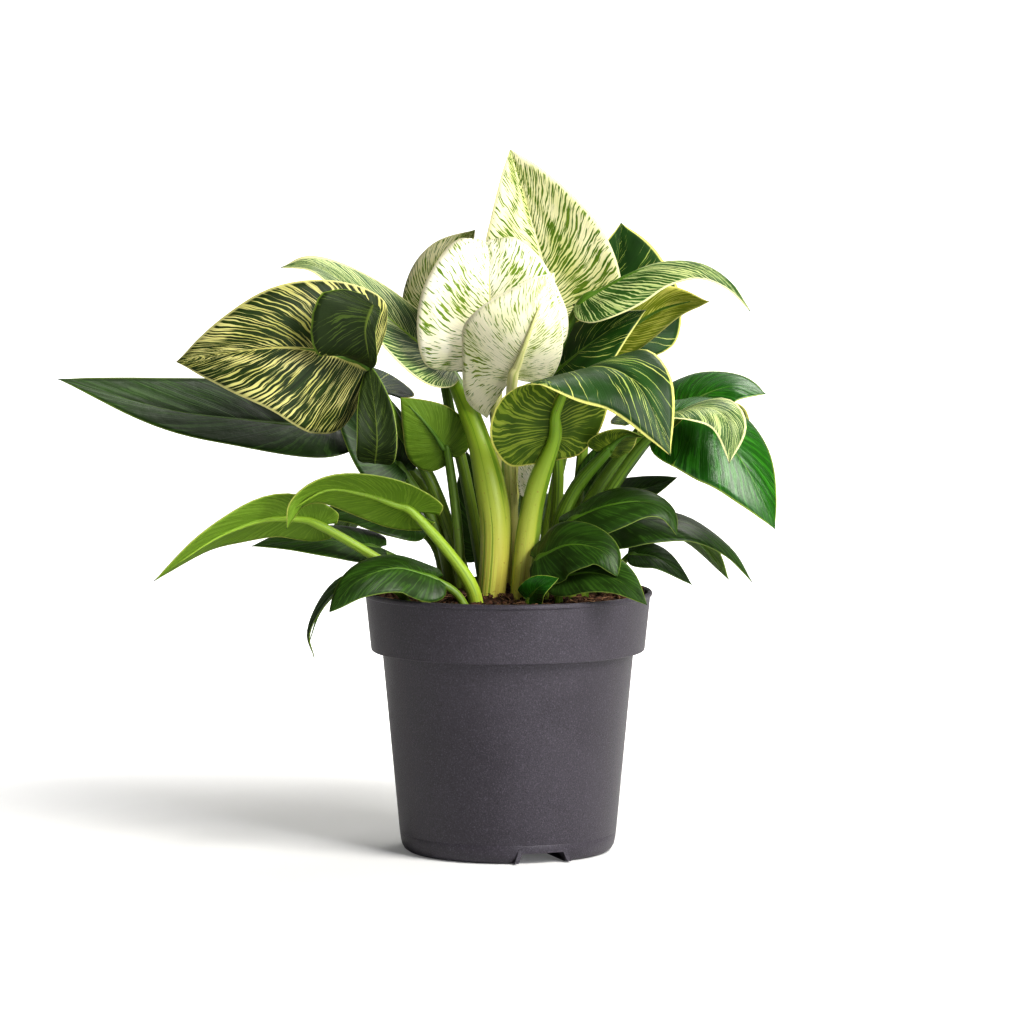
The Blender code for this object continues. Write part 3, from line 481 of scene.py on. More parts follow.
# Striped leaf behind the cream ones, half furled, seen past their left edge.
# Yellow green underside with cream stripes, lit from behind.
yellow_skin = leaf_material("yellow_leaf_under", "#6E7E13", "#869422", "#D8D26A", "#B6B848", 0.4, 105,
    0.7, "#DCD672", "#E2DC7C", edge=0.965, rough=0.5, glow=0.18)
add_leaf("leaf_back_left_striped", "leaf_striped", [furled_skin, yellow_skin, green_stem],
    petiole=[(-8, 18, 100), (-17, 24, 150), (-26, 30, 190)], radii=[3, 2.4, 2],
    rib=[(-29, 37, 216), (-30, 36, 231), (-26, 32, 247), (-14, 27, 261)],
    up=[(-0.2, -1, 0.2), (-0.1, -1, 0.1)], width=(16, 26), fold=(10, 20), curl=(-30, 30), lobe=0.1)

# Pointed leaf behind the topmost one, dark green with yellow margins.
# Dark blade with fine pale lines and a cream margin, with a satin sheen.
lined_skin = leaf_material("lined_leaf_upper", "#16330A", "#224810", "#C8CA73", "#7C9A3D", 0.15, 120,
    0.8, "#A2B056", "#DAD87C", edge=0.972, patch=0.2, coat=0.05, glow=0.04)
lined_leaf = [lined_skin, lined_back, green_stem]
add_leaf("leaf_back_right_upper", "leaf_lined", lined_leaf,
    petiole=[(12, 24, 100), (20, 32, 150), (30, 36, 190)], radii=[3, 2.4, 2],
    rib=[(40, 38, 214), (44, 38, 232), (47, 33, 250), (48, 25, 264)],
    up=[(0.2, -1, 0.1), (0.3, -1, 0.1)], width=(28, 33), fold=(20, 10), lobe=0.1, wave=1)

# Long leaf arching out to the upper right, grey green on top with a cream margin.
add_leaf("leaf_right_top_long", "leaf_lined", [bright_skin, lined_back, green_stem],
    petiole=[(9, 7, 100), (8, 6, 150), (16, -2, 198)], radii=[3.2, 2.6, 2],
    rib=[(28, -8, 231), (44, -10, 240), (62, -10, 248), (80, -10, 248), (93, -10, 240), (101, -11, 228)],
    up=[(0, -0.2, 1), (0.5, -0.1, 0.8)], width=(18, 15), fold=(-12, -30), curl=(-20, -30), lobe=0.02,
    wave=0.8)

# Leaf at the right turned to show its yellow green underside with cream stripes.
add_leaf("leaf_right_yellow_under", "leaf_striped", [striped_skin, yellow_skin, green_stem],
    petiole=[(22, 16, 100), (30, 19, 150), (33, 22, 185)], radii=[3, 2.4, 2],
    rib=[(34, 23, 207), (52, 23, 220), (70, 21, 230), (85, 13, 231)], up=[(-0.4, 0.8, 0.45)], width=18,
    curl=20)

# Dark leaf with pale lines in the shade between the crown and the right side.
add_leaf("leaf_right_dark_behind", "leaf_lined", lined_leaf,
    petiole=[(16, 10, 100), (21, 10, 150), (20, 8, 180)], radii=[3, 2.4, 2],
    rib=[(18, 6, 200), (32, 0, 212), (46, -2, 222), (58, 0, 228)],
    up=[(-0.1, -0.8, 0.6), (-0.1, -0.7, 0.7)], width=(16, 18))

# Dark leaf that arches toward the viewer at the right of the middle: the olive underside
# shows at its foot, the lined upper side beyond the arch, down to the point.
add_leaf("leaf_front_right_dark", "leaf_lined", [lined_skin, lined_back, thick_stem],
    petiole=[(5, -18, 100), (8, -20, 132), (12, -24, 155)], radii=[5, 5.2, 4.6, 3],
    rib=[(18, -28, 175), (21, -37, 195), (35, -50, 207), (53, -64, 200), (66, -74, 172)],
    up=[(-0.5, 0.75, 0.35), (0.2, -0.9, 0.4)], width=(26, 33), curl=(-25, -15), lobe=0.1)

# Small leaf under the arch, its olive underside to the viewer.
add_leaf("leaf_under_right_mid", "leaf_light", [dark_skin, lined_back, green_stem],
    petiole=[(17, -9, 100), (20, -8, 132), (28, -9, 153)], radii=[3.8, 3.6, 3, 2.4],
    rib=[(40, -14, 170), (49, -19, 177), (57, -23, 176)], up=[(-0.1, 0.5, 0.85), (-0.1, 0.3, 0.9)],
    width=(12, 13), curl=-15, lobe=0.1)

# Plain green leaf at the right, behind the variegated one.
# Plain fresh green blade, the glossiest of the plant.
glossy_skin = leaf_material("glossy_leaf_upper", "#1E560C", "#174508", "#256210", "#2E6E16", 0.35, 60,
    0.9, "#5A8C2C", "#9DAF4A", edge=0.985, rough=0.24, coat=0.25, relief=0.35, glow=0.05)
# Light green matt underside with close fine veins.
light_skin = leaf_material("light_leaf_under", "#678823", "#5E801E", "#6F9028", "#7A9A31", 0.45, 90,
    0.8, "#8AA63B", "#C0C662", edge=0.98, rough=0.5, glow=0.18)
add_leaf("leaf_right_glossy_back", "leaf_glossy", [glossy_skin, light_skin, green_stem],
    petiole=[(27, 13, 100), (38, 16, 140), (56, 16, 168)], radii=[3, 2.4, 2],
    rib=[(66, 15, 181), (80, 16, 190), (95, 16, 195), (109, 12, 192)],
    up=[(0, -0.4, 0.9), (0.2, -0.4, 0.9)], width=22, fold=(5, -10), curl=(-20, -30), wave=1)

# Small variegated leaf at the right, bent over at a sharp fold.
add_leaf("leaf_right_arched_variegated", "leaf_striped", [bright_skin, lined_back, green_stem],
    petiole=[(24, -10, 100), (33, -10, 135), (50, -20, 165)], radii=[2.8, 2.4, 2],
    rib=[(60, -29, 180), (72, -33, 188), (84, -38, 189), (91, -43, 182), (91, -47, 167)],
    up=[(-0.4, 0.3, 0.85), (0.5, -0.8, 0.3)], width=16, lobe=0.08)

# Large plain green leaf hanging at the right, with a strong highlight.
add_leaf("leaf_right_big_glossy", "leaf_glossy", [glossy_skin, light_skin, green_stem],
    petiole=[(20, -1, 100), (28, -2, 135), (46, -5, 165)], radii=[3.2, 2.8, 2.4],
    rib=[(66, -8, 184), (82, -14, 182), (96, -20, 168), (105, -24, 152), (111, -26, 138)],
    up=[(0.2, -0.6, 0.75), (0.5, -0.8, 0.3)], width=(24, 26), fold=-5, lobe=0.04, wave=1.2, waves=1.5)

# Slim leaf still folded along its midrib, inside the right side.
add_leaf("leaf_folded_dark_right", "leaf_dark", dark_leaf,
    petiole=[(28, 7, 100), (30, 9, 130)], radii=[2.2, 1.8],
    rib=[(34, 10, 150), (42, 10, 164), (55, 10, 176)], up=[(-0.6, -0.6, 0.5)], width=10, fold=20,
    curl=0, lobe=0)

# Small cream leaf standing between the two thick stalks.
add_leaf("leaf_centre_small_white", "leaf_cream", [cream_skin, cream_back, pale_stem],
    petiole=[(9, -5, 100), (10, -6, 130)], radii=[2.2, 1.8],
    rib=[(11, -8, 150), (11, -10, 164), (12, -12, 176), (16, -14, 186)], up=[(-0.3, -1, 0)], width=7,
    fold=25, curl=0, lobe=0)

# Round light green underside left of the thick stalk.
add_leaf("leaf_round_green_under", "leaf_light", [dark_skin, light_skin, green_stem],
    petiole=[(-19, -4, 100), (-21, -4, 135)], radii=[2.4, 2],
    rib=[(-25, -5, 167), (-32, -9, 178), (-39, -11, 186), (-45, -11, 192)], up=[(0, 1, 0)],
    width=(14, 15), curl=10, lobe=0.1)

# Dark leaf in the shade below and behind the striped one.
add_leaf("leaf_dark_mid_left", "leaf_dark", dark_leaf,
    petiole=[(-22, 6, 100), (-30, 6, 135)], radii=[2.6, 2],
    rib=[(-43, 4, 160), (-54, 3, 170), (-64, 1, 180), (-72, 0, 190)], up=[(0.2, -0.8, 0.6)], width=16)

# Long low leaf at the left, seen from its light green underside, drooping to its tip.
# Stalk of a low leaf: bright yellow green with darker lines.
fresh_stem = stem_material("fresh_leaf_stalk", "#A3B838", "#86A430", "#5E8018", "#6F5A2A")
add_leaf("leaf_low_left_long", "leaf_light", [dark_skin, light_skin, fresh_stem],
    petiole=[(-30, -22, 100), (-42, -24, 117), (-58, -26, 128)], radii=[2, 2, 2],
    rib=[(-76, -27, 140), (-94, -29, 144), (-112, -33, 139), (-127, -38, 132), (-146, -43, 118)],
    up=[(-0.2, 0.75, 0.6), (-0.3, 0.5, 0.8)], width=12, fold=(10, 5), curl=-10, wave=1)

# Low leaf above it, its far end curled down, on a bright green stalk.
add_leaf("leaf_low_left_curled", "leaf_light", [dark_skin, light_skin, fresh_stem],
    petiole=[(-12, -28, 100), (-15, -30, 114), (-24, -31, 128)], radii=[3.2, 3, 2.4, 2],
    rib=[(-38, -32, 146), (-56, -37, 153), (-74, -42, 156), (-86, -46, 151), (-91, -48, 140)],
    up=[(0, 0.75, 0.65), (-0.2, 0.5, 0.7)], width=(15, 14), fold=(5, 10), curl=(-25, -30), lobe=0.15)

# Dark level leaf behind the low left ones.
add_leaf("leaf_low_left_dark_a", "leaf_dark", dark_leaf,
    petiole=[(-28, -8, 100), (-38, -10, 118)], radii=[2, 1.8],
    rib=[(-54, -10, 129), (-72, -12, 132), (-90, -14, 132), (-107, -16, 130)], up=[(0, -0.4, 0.9)],
    width=(14, 16))

# Second dark leaf behind them, a little higher.
add_leaf("leaf_low_left_dark_b", "leaf_dark", dark_leaf,
    petiole=[(-26, 16, 100), (-30, 15, 125)], radii=[2, 1.8],
    rib=[(-38, 10, 137), (-50, 6, 141), (-66, 4, 143), (-82, 2, 140)], up=[(0, -0.5, 0.85)],
    width=(14, 16))

# Low dark leaf lying forward over the rim at the left.
add_leaf("leaf_low_front_left", "leaf_glossy", dark_leaf,
    petiole=[(-14, -38, 100), (-21, -38, 112)], radii=[1.8, 1.7],
    rib=[(-29, -40, 119), (-46, -48, 124), (-62, -56, 119), (-73, -60, 107)],
    up=[(0, -0.6, 0.8), (-0.3, -0.8, 0.5)], width=13, fold=-5, curl=-25, blunt=0.8, wave=0.8)

# Narrow leaf that hangs down outside the rim at the left.
add_leaf("leaf_thin_hanging", "leaf_dark", dark_leaf,
    petiole=[(-38, -29, 100), (-45, -31, 112)], radii=[1.8, 1.6],
    rib=[(-54, -34, 117), (-66, -38, 117), (-76, -41, 108), (-82, -42, 96), (-80, -42, 86)],
    up=[(-0.2, -0.2, 1), (-0.95, -0.15, 0.1)], width=8, fold=10, curl=0)

# Upper of the low right leaves, dark, arched forward.
add_leaf("leaf_low_right_a", "leaf_dark", dark_leaf,
    petiole=[(14, -22, 100), (17, -23, 125)], radii=[2.4, 2],
    rib=[(24, -26, 141), (40, -30, 148), (56, -32, 150), (66, -34, 146), (70, -36, 136)],
    up=[(0, -0.5, 0.85), (0.5, -0.6, 0.6)], width=14, fold=-5, wave=0.8)

# Broad dark leaf below it, near the middle.
add_leaf("leaf_low_right_b", "leaf_glossy", dark_leaf,
    petiole=[(12, -31, 100), (11, -31, 116)], radii=[2, 1.8],
    rib=[(11, -33, 126), (25, -42, 133), (39, -50, 131), (45, -54, 121)],
    up=[(0.1, -0.75, 0.65), (0.3, -0.9, 0.3)], width=14, fold=-5, blunt=0.8, wave=0.8)

# Lowest right leaf, lying over the rim.
add_leaf("leaf_low_right_c", "leaf_glossy", dark_leaf,
    petiole=[(22, -33, 100), (21, -34, 111)], radii=[1.8, 1.7],
    rib=[(20, -37, 119), (34, -47, 122), (46, -55, 119), (57, -62, 110)],
    up=[(0, -0.7, 0.7), (0.2, -0.9, 0.4)], width=(13, 11), fold=0, curl=-10)

# Small fresh leaf at the foot of the stalks.
add_leaf("leaf_low_small_front", "leaf_glossy", [glossy_skin, light_skin, green_stem],
    petiole=[(7, -38, 100)], radii=[1.6, 1.6],
    rib=[(8, -40, 110), (13, -46, 116), (21, -50, 120)], up=[(0.2, -0.9, 0.4)], width=6, fold=10,
    curl=0, lobe=0)

# Long dark leaf arching far out at the lower right.
add_leaf("leaf_low_right_long", "leaf_dark", dark_leaf,
    petiole=[(31, -3, 100), (34, -3, 120)], radii=[2.2, 1.9],
    rib=[(40, -1, 134), (56, 0, 140), (76, 2, 138), (93, 4, 127), (103, 4, 113)],
    up=[(0.1, -0.3, 0.95), (0.6, -0.3, 0.7)], width=15, fold=-5, wave=1)

# Narrow leaf below it.
add_leaf("leaf_low_right_d", "leaf_dark", dark_leaf,
    petiole=[(38, 10, 100), (44, 12, 114)], radii=[1.6, 1.5],
    rib=[(51, 14, 124), (64, 14, 122), (78, 12, 111)], up=[(0.3, -0.6, 0.8), (0.6, -0.6, 0.5)], width=8,
    curl=-10, lobe=0)

# Small dark leaf at the right, above it.
add_leaf("leaf_low_right_g", "leaf_dark", dark_leaf,
    petiole=[(33, 24, 100), (38, 25, 132)], radii=[2.2, 1.9],
    rib=[(46, 24, 149), (58, 22, 151), (72, 20, 156)], up=[(0, -0.6, 0.8)], width=9, curl=-10, lobe=0)

# Hidden side of the plant. Large lined leaf arching to the back.
add_leaf("leaf_back_tall", "leaf_lined", lined_leaf,
    petiole=[(0, 26, 100), (-2, 32, 150), (-6, 40, 185)], radii=[3.2, 2.6, 2.2],
    rib=[(-8, 50, 205), (-10, 66, 222), (-14, 86, 230), (-18, 108, 222)],
    up=[(0, -0.6, 0.8), (0, 0.3, 0.95)], width=28, fold=8, lobe=0.1)

# Hidden side. Wide leaf to the back left.
add_leaf("leaf_back_left_wide", "leaf_lined", lined_leaf,
    petiole=[(-16, 26, 100), (-30, 38, 145), (-44, 49, 175)], radii=[3, 2.4, 2],
    rib=[(-54, 56, 190), (-72, 68, 200), (-92, 80, 198), (-110, 92, 184)],
    up=[(0.3, -0.2, 0.9), (-0.3, 0.3, 0.9)], width=26, fold=8, lobe=0.1)

# Hidden side. Wide leaf to the back right.
add_leaf("leaf_back_right_wide", "leaf_lined", lined_leaf,
    petiole=[(16, 30, 100), (34, 42, 140), (50, 50, 165)], radii=[3, 2.4, 2],
    rib=[(58, 54, 178), (74, 66, 186), (92, 78, 182), (106, 88, 166)],
    up=[(-0.3, -0.2, 0.9), (0.3, 0.3, 0.9)], width=26, fold=8, lobe=0.1)

# Hidden side. Low dark leaf to the back left.
add_leaf("leaf_back_low_left", "leaf_dark", dark_leaf,
    petiole=[(-14, 38, 100), (-24, 46, 120)], radii=[2.2, 1.9],
    rib=[(-34, 54, 134), (-50, 66, 142), (-66, 78, 136), (-78, 88, 118)],
    up=[(0, 0, 1), (-0.4, 0.4, 0.8)], width=18)

# Hidden side. Low dark leaf straight to the back.
add_leaf("leaf_back_low_mid", "leaf_dark", dark_leaf,
    petiole=[(4, 40, 100), (6, 50, 122)], radii=[2.2, 1.9],
    rib=[(8, 60, 136), (12, 76, 144), (16, 92, 138), (18, 104, 120)], up=[(0, -0.1, 1), (0, 0.6, 0.8)],
    width=18)

# Hidden side. Low dark leaf to the back right.
add_leaf("leaf_back_low_right", "leaf_dark", dark_leaf,
    petiole=[(24, 34, 100), (34, 38, 116)], radii=[2.2, 1.9],
    rib=[(46, 42, 126), (64, 50, 132), (82, 58, 126), (96, 64, 108)], up=[(0, 0, 1), (0.4, 0.4, 0.8)],
    width=17)

# Dark young leaf standing in the shade behind the thick stalk.
add_leaf("leaf_inner_dark_left", "leaf_dark", dark_leaf,
    petiole=[(-6, 44, 100), (-8, 48, 112)], radii=[2.2, 1.9],
    rib=[(-10, 50, 118), (-14, 52, 140), (-18, 52, 165)], up=[(0, -1, 0.1), (0, -1, 0.2)],
    width=(12, 15), curl=-15, lobe=0)

# Its neighbour in the shade to the right.
add_leaf("leaf_inner_dark_right", "leaf_dark", dark_leaf,
    petiole=[(21, 21, 100), (27, 29, 115)], radii=[2.2, 1.9],
    rib=[(31, 33, 124), (39, 34, 145), (46, 34, 168)], up=[(0, -1, 0.1), (0, -1, 0.2)], width=(12, 9),
    curl=-15, lobe=0)


# Nursery pot: thin injection moulded plastic, anthracite with a purple cast and a
# fine speckled grain. Turned from its section; the drain notches are cut in.
def pot_plastic():
    """Dark grey plastic with fine pale and dark specks and a soft broad sheen."""
    mat = new_material("pot_plastic_grained")
    where = add(mat, "TexCoord").outputs["Object"]
    grain = add_noise(mat, where, 1700.0, 2.0, 0.75)
    cloud = add_noise(mat, where, 25.0, 3.0)
    skin = blend(mat, ramp(mat, cloud, 0.35, 0.65), "#322E36", "#3A363E")
    skin = blend(mat, ramp(mat, grain, 0.53, 0.7, 0.0, 0.55), skin, "#5E5864")
    skin = blend(mat, ramp(mat, grain, 0.47, 0.3, 0.0, 0.6), skin, "#1C181C")
    bump = add(mat, "Bump", {"Height": grain, "Strength": 0.5, "Distance": 0.0003}).outputs[0]
    rough = ramp(mat, cloud, 0.3, 0.7, 0.38, 0.46)
    shell = add(mat, "BsdfPrincipled", {"Base Color": skin, "Roughness": rough, "Normal": bump,
                                        "Specular IOR Level": 0.4})
    return finished(mat, shell)


def turned(profile, sides):
    """Closed ring profile turned about Z; radius 0 closes it at the axis."""
    verts, faces, rings = [], [], []
    for r, z in profile:
        count = 1 if r == 0 else sides
        rings.append(list(range(len(verts), len(verts) + count)))
        verts += [Vector((r * cos(2 * pi * j / sides), r * sin(2 * pi * j / sides), z))
                  for j in range(count)]
    for one, two in zip(rings, rings[1:]):
        for j in range(sides):
            face = []
            for k in (one[j % len(one)], two[j % len(two)], two[(j + 1) % len(two)],
                      one[(j + 1) % len(one)]):
                if k not in face:
                    face.append(k)
            faces.append((tuple(face), 0))
    return verts, faces, [(0.0, 0.0, 0.0)] * len(verts)


def wedge(name, inner, outer, foot, top, height, low, turn):
    """Trapezoid bar along a radius, in millimetres."""
    verts = []
    for x in (inner, outer):
        for y, z in ((-foot / 2, low), (foot / 2, low), (top / 2, height), (-top / 2, height)):
            verts.append(Vector((x * cos(turn) - y * sin(turn), x * sin(turn) + y * cos(turn), z)))
    faces = [(3, 2, 1, 0), (4, 5, 6, 7), (1, 5, 4, 0), (2, 6, 5, 1), (3, 7, 6, 2), (0, 4, 7, 3)]
    return join_meshes(name, [(verts, [(f, 0) for f in faces], [(0.0, 0.0, 0.0)] * 8)], [])


def apply_boolean(obj, tools, operation):
    group = bpy.data.collections.new("tools")
    for tool in tools:
        group.objects.link(tool)
    mod = obj.modifiers.new("join", "BOOLEAN")
    mod.operation, mod.operand_type, mod.collection = operation, "COLLECTION", group
    bpy.context.view_layer.update()
    result = bpy.data.meshes.new_from_object(
        obj.evaluated_get(bpy.context.evaluated_depsgraph_get()))
    obj.modifiers.clear()
    obj.data = result
    for tool in tools:
        bpy.data.objects.remove(tool, do_unlink=True)
    bpy.data.collections.remove(group)


# Section in millimetres: foot, wall, step under the rim band, rolled lip, inside.
POT_SECTION = [(0, 0), (41.1, 0), (42.6, 0.25), (44.0, 1.2), (44.9, 2.8), (45.4, 5.0), (45.75, 7.8),
               (45.68, 8.0), (45.82, 8.3), (52.95, 83.9), (53.15, 84.4), (53.6, 84.65),
               (57.2, 84.8), (57.6, 85.1), (57.75, 85.8), (59.9, 106.6), (60.1, 107.6),
               (60.7, 108.1), (60.85, 108.7), (60.75, 109.4), (60.3, 109.85), (59.8, 109.95),
               (59.3, 109.7), (58.9, 109.1), (58.7, 107.0), (56.4, 86.5), (55.9, 86.0),
               (51.95, 85.8), (51.75, 84.9), (44.4, 5.8), (42.2, 2.2), (40.1, 1.5), (0, 1.5)]
FIRST_NOTCH = -71.0      # direction of the front notch, in degrees from +X
DRAIN_PLACE = 28.0       # distance of a drain hole from the pot's axis
DRAIN_RADIUS = 3.0
plastic = pot_plastic()
pot = join_meshes("pot_fine", [turned(list(reversed(POT_SECTION)), 144)], [plastic])
turns = [radians(FIRST_NOTCH + 180.0 * k) for k in range(2)]
apply_boolean(pot, [wedge("roof", 14.0, 44.7, 25.0, 21.0, 6.1, 0.6, a) for a in turns], "UNION")
cuts = [wedge("channel", 17.0, 53.6, 22.5, 18.0, 4.6, -0.5, a) for a in turns]
for a in turns:
    x, y = DRAIN_PLACE * cos(a), DRAIN_PLACE * sin(a)
    ring = stalk_mesh([(x, y, 3.0), (x, y, 9.0)], [DRAIN_RADIUS, DRAIN_RADIUS], 0.0, 24, 1, 0)
    cuts.append(join_meshes("drain", [ring], []))
apply_boolean(pot, cuts, "DIFFERENCE")
while len(pot.data.materials) > 1:
    pot.data.materials.pop()
for poly in pot.data.polygons:
    poly.material_index = 0
pot.data.set_sharp_from_angle(angle=radians(32))
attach(pot, "root")
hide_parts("pot")

# Soil: dark brown peat and coir, crumbly on top, level with the rim and heaped at
# the stalks. A turned body with a rough top, loose crumbs and fine fibres on it.


def peat(name, dark, mid, light):
    """Damp peat: near black ground with brown and tan crumbs."""
    mat = new_material(name)
    where = add(mat, "TexCoord").outputs["Object"]
    crumbs = add_noise(mat, where, 420.0, 4.0, 0.65)
    bits = add_noise(mat, where, 1500.0, 2.0)
    skin = blend(mat, ramp(mat, crumbs, 0.38, 0.62), dark, mid)
    skin = blend(mat, ramp(mat, bits, 0.6, 0.7, 0.0, 0.7), skin, light)
    bump = add(mat, "Bump", {"Height": crumbs, "Strength": 0.8, "Distance": 0.0012}).outputs[0]
    shell = add(mat, "BsdfPrincipled", {"Base Color": skin, "Roughness": 0.92, "Normal": bump,
                                        "Specular IOR Level": 0.2})
    return finished(mat, shell)


SOIL_LEVEL = 106.7
SOIL_LIMIT = 111.6       # no soil is higher
CRUMB_LIMIT = 112.5      # no crumb has its middle higher
FIBRE_LIMIT = 113.0      # no fibre lies higher
FIBRE_REACH = 57         # fibres stay this close to the axis
BUMPS, CRUMBS, FIBRES = 420, 1500, 260
rng = random.Random(7)
bumps = [(rng.uniform(-58, 58), rng.uniform(-58, 58), rng.uniform(2.0, 5.0), rng.uniform(-0.7, 1.1))
         for k in range(BUMPS)]


def soil_top(x, y):
    """Height of the soil at a place, in millimetres."""
    r, turn = hypot(x, y), atan2(y, x)
    height = SOIL_LEVEL + 1.4 * cos(pi * min(r / 50.0, 1.0))
    height += 0.7 * sin(3 * turn + 0.12 * r) + 0.5 * sin(5 * turn - 0.2 * r)
    height += 2.4 * max(0.0, cos(turn)) * ease(34.0, 54.0, r) + 0.6 + 2.2 * exp(-r * r / 600.0)
    for bx, by, wide, tall in bumps:
        gap = (x - bx) ** 2 + (y - by) ** 2
        if gap < 9 * wide * wide:
            height += tall * exp(-gap / (wide * wide))
    return min(height, SOIL_LIMIT)


def soil_body():
    verts, faces = [Vector((0, 0, soil_top(0, 0)))], []
    sides, rings = 120, 44
    for k in range(1, rings + 1):
        r = 57.6 * k / rings
        for j in range(sides):
            a = 2 * pi * j / sides
            x, y = r * cos(a), r * sin(a)
            verts.append(Vector((x, y, soil_top(x, y))))
    for r, z in ((55.7, 86.7), (51.2, 86.5), (44.0, 6.9)):
        verts += [Vector((r * cos(2 * pi * j / sides), r * sin(2 * pi * j / sides), z))
                  for j in range(sides)]
    faces += [((0, 1 + j, 1 + (j + 1) % sides), 0) for j in range(sides)]
    for k in range(rings + 2):
        for j in range(sides):
            a, b = 1 + k * sides + j, 1 + k * sides + (j + 1) % sides
            faces.append(((a, a + sides, b + sides, b), 0))
    faces.append((tuple(reversed(range(1 + (rings + 2) * sides, 1 + (rings + 3) * sides))), 0))
    return verts, faces, [(0.0, 0.0, 0.0)] * len(verts)


def crumb(x, y, z, size):
    """One lump of peat: an uneven six-sided stone shape."""
    turn, verts = rng.uniform(0, 2 * pi), []
    for k, (ring, high) in enumerate(((0.55, -0.7), (1.0, 0.0), (0.6, 0.7))):
        for j in range(6):
            a = turn + 2 * pi * j / 6 + 0.4 * k
            r = size * ring * rng.uniform(0.75, 1.2)
            verts.append(Vector((x + r * cos(a), y + r * sin(a),
                                 z + size * high * rng.uniform(0.7, 1.1))))
    faces = [(tuple(reversed(range(6))), 0), (tuple(range(12, 18)), 0)]
    for k in range(2):
        for j in range(6):
            a, b = k * 6 + j, k * 6 + (j + 1) % 6
            faces.append(((a, b, b + 6, a + 6), 0))
    return verts, faces, [(0.0, 0.0, 0.0)] * 18


def loose(count, low, high, reach):
    """Random places on the soil, denser toward the rim, each with a size."""
    found = []
    while len(found) < count:
        a, r = rng.uniform(0, 2 * pi), reach * rng.random() ** 0.45
        size = low + (high - low) * rng.random() ** 2.5
        x, y = r * cos(a), r * sin(a)
        found.append((x, y, min(soil_top(x, y) + 0.3 * size, CRUMB_LIMIT), size))
    return found


# Dark damp ground colour of the peat.
ground_peat = peat("peat_damp", "#1C110C", "#3A241A", "#6B4A33")
soil = join_meshes("soil_fine", [soil_body()], [ground_peat])
soil.data.set_sharp_from_angle(angle=radians(60))
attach(soil, "root")
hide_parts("soil")

# Loose crumbs on top, a little lighter where they have dried.
dry_peat = peat("peat_dry", "#2A1A12", "#4D3325", "#8A6548")
lumps = [crumb(*place) for place in loose(CRUMBS, 0.5, 2.3, 56.5)]
crumbs = join_meshes("soil_crumbs", lumps, [dry_peat])
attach(crumbs, "root")


def fibre_skin():
    """Coir fibre and thin root: tan to reddish brown, matt."""
    mat = new_material("coir_fibre")
    place = add(mat, "TexCoord").outputs["Object"]
    tone = add_noise(mat, place, 60.0, 2.0)
    skin = blend(mat, ramp(mat, tone, 0.35, 0.65), "#4A2C1C", "#9A7550")
    shell = add(mat, "BsdfPrincipled", {"Base Color": skin, "Roughness": 0.8})
    return finished(mat, shell)


def fibre(x, y, long, thick):
    """One bent fibre lying on the soil."""
    turn, bend = rng.uniform(0, 2 * pi), rng.uniform(-1.2, 1.2)
    points = []
    for k in range(4):
        height = soil_top(x, y) + 0.6 + 1.2 * sin(pi * k / 3) * rng.random()
        points.append(Vector((x, y, min(height, FIBRE_LIMIT))))
        x, y = x + long / 3 * cos(turn), y + long / 3 * sin(turn)
        far = hypot(x, y)
        if far > FIBRE_REACH:
            x, y = x * FIBRE_REACH / far, y * FIBRE_REACH / far
        turn += bend
    return stalk_mesh(points, [thick, thick, thick * 0.6], 0.0, 5, 7, 0)


fibres = [fibre(x, y, rng.uniform(5, 16), rng.uniform(0.12, 0.3))
          for x, y, z, size in loose(FIBRES, 1.0, 1.0, 54.0)]
threads = join_meshes("soil_fibres", fibres, [fibre_skin()])
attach(threads, "root")

# Setting: plain white studio floor, soft light from the upper right in front, and
# a camera at the photograph's angle. None of it belongs to the object.
# The sheet runs level and bends up behind the plant. It looks a little brighter than it
# shines on the plant, so that it stays white.
sheet = [(-6.0, 0.0), (1.4, 0.0)]
sheet += [(1.4 + 0.6 * sin(radians(a)), 0.6 - 0.6 * cos(radians(a))) for a in range(10, 91, 10)]
sheet += [(2.0, 4.0)]
floor_mesh = bpy.data.meshes.new("studio_sheet")
floor_mesh.from_pydata([(x, y, z) for y, z in sheet for x in (-5.0, 5.0)], [],
                       [(2 * k, 2 * k + 1, 2 * k + 3, 2 * k + 2) for k in range(len(sheet) - 1)])
floor_mesh.shade_smooth()
floor = bpy.data.objects.new("studio_sheet", floor_mesh)
bpy.context.scene.collection.objects.link(floor)
white = new_material("studio_white")
tint = add_noise(white, add(white, "TexCoord").outputs["Object"], 3.0, 2.0)
away = add(white, "VectorMath", {0: add(white, "TexCoord").outputs["Object"]}, operation="LENGTH")
seen = add(white, "LightPath").outputs["Is Camera Ray"]
glow = calc(white, "MULTIPLY", ramp(white, away.outputs["Value"], 0.1, 0.55, 0.12, 1.0), seen)
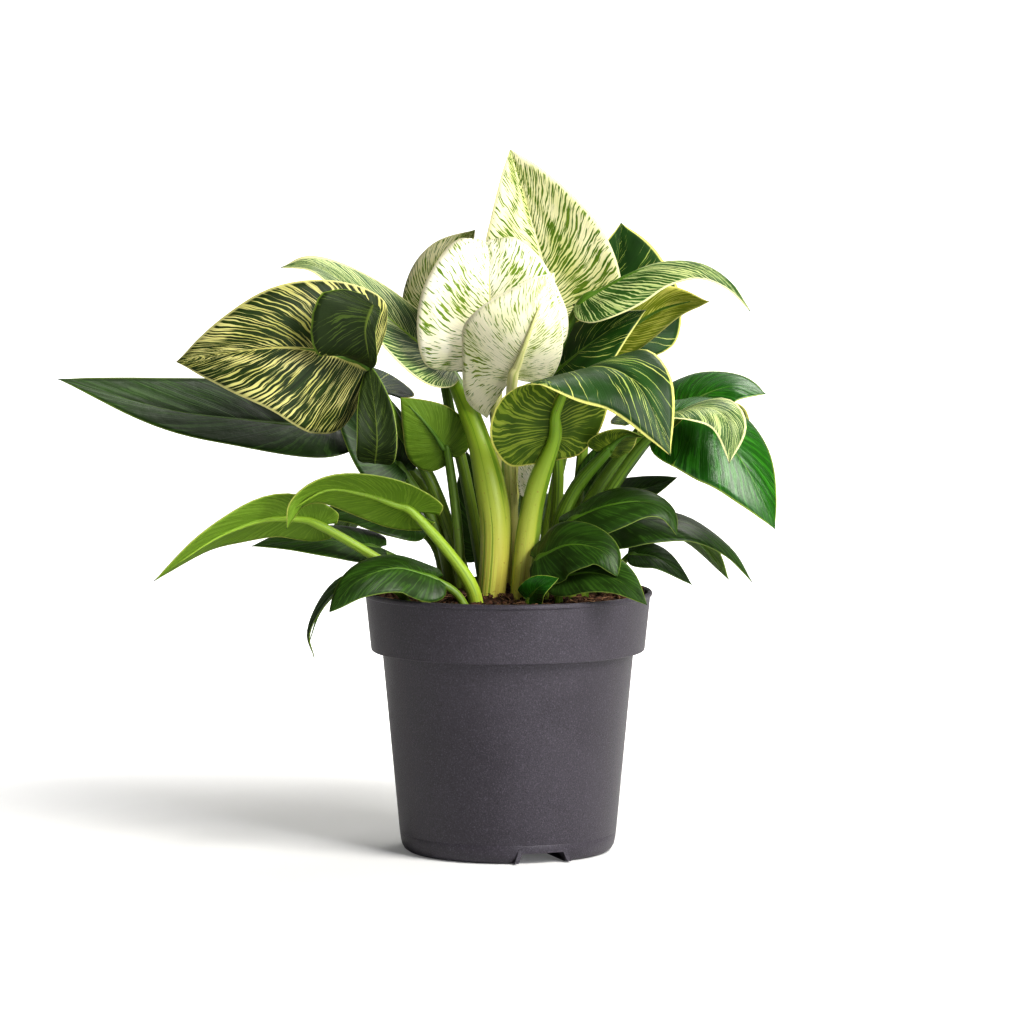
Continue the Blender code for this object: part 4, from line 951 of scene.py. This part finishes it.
paper = add(white, "BsdfPrincipled", {"Base Color": blend(white, tint, "#DCDCDC", "#E0E0E0"),
                                      "Roughness": 0.9, "Specular IOR Level": 0.1,
                                      "Emission Color": srgb("#FFFFFF"), "Emission Strength": glow})
floor_mesh.materials.append(finished(white, paper))


def soft_light(name, place, target, size, power, colour="#FFFFFF"):
    lamp = bpy.data.lights.new(name, "AREA")
    lamp.shape, lamp.size, lamp.size_y = "RECTANGLE", size[0], size[1]
    lamp.energy, lamp.color = power, srgb(colour)[:3]
    obj = bpy.data.objects.new(name, lamp)
    obj.location = place
    obj.rotation_euler = (Vector(target) - Vector(place)).to_track_quat("-Z", "Y").to_euler()
    bpy.context.scene.collection.objects.link(obj)


soft_light("key_light", (1.0, -0.95, 1.25), (0, 0, 0.16), (0.85, 0.85), 54.0, "#FFFDF8")
soft_light("strip_light", (0.75, -1.15, 0.3), (0, 0, 0.1), (0.2, 0.8), 10.0, "#F6F8FF")
soft_light("back_light", (0.45, 0.75, 1.25), (0, 0, 0.12), (0.6, 0.6), 13.0, "#FFFDF8")
soft_light("fill_light", (-1.5, -1.2, 1.2), (0, 0, 0.25), (0.7, 0.7), 0.7)
world = bpy.data.worlds.new("studio_air")
world.use_nodes = True
air, nodes = world.node_tree.nodes["Background"], world.node_tree.nodes
scale = nodes.new("ShaderNodeMapRange")
scale.inputs["To Min"].default_value = 0.12
world.node_tree.links.new(nodes.new("ShaderNodeLightPath").outputs["Is Camera Ray"], scale.inputs[0])
world.node_tree.links.new(scale.outputs[0], air.inputs["Strength"])
air.inputs["Color"].default_value = (1, 1, 1, 1)
bpy.context.scene.world = world
bpy.context.scene.view_settings.view_transform = "Standard"
bpy.context.scene.view_settings.gamma = 0.88

lens = bpy.data.cameras.new("camera")
lens.lens = 167.6          # millimetres on a 36 mm sensor
lens.clip_end = 50.0
camera = bpy.data.objects.new("camera", lens)
camera.location = (0.0017, -2.0, 0.313)
CAMERA_DOWN = 4.86         # degrees below level
camera.rotation_euler = (radians(90 - CAMERA_DOWN), 0, 0)
bpy.context.scene.collection.objects.link(camera)
bpy.context.scene.camera = camera
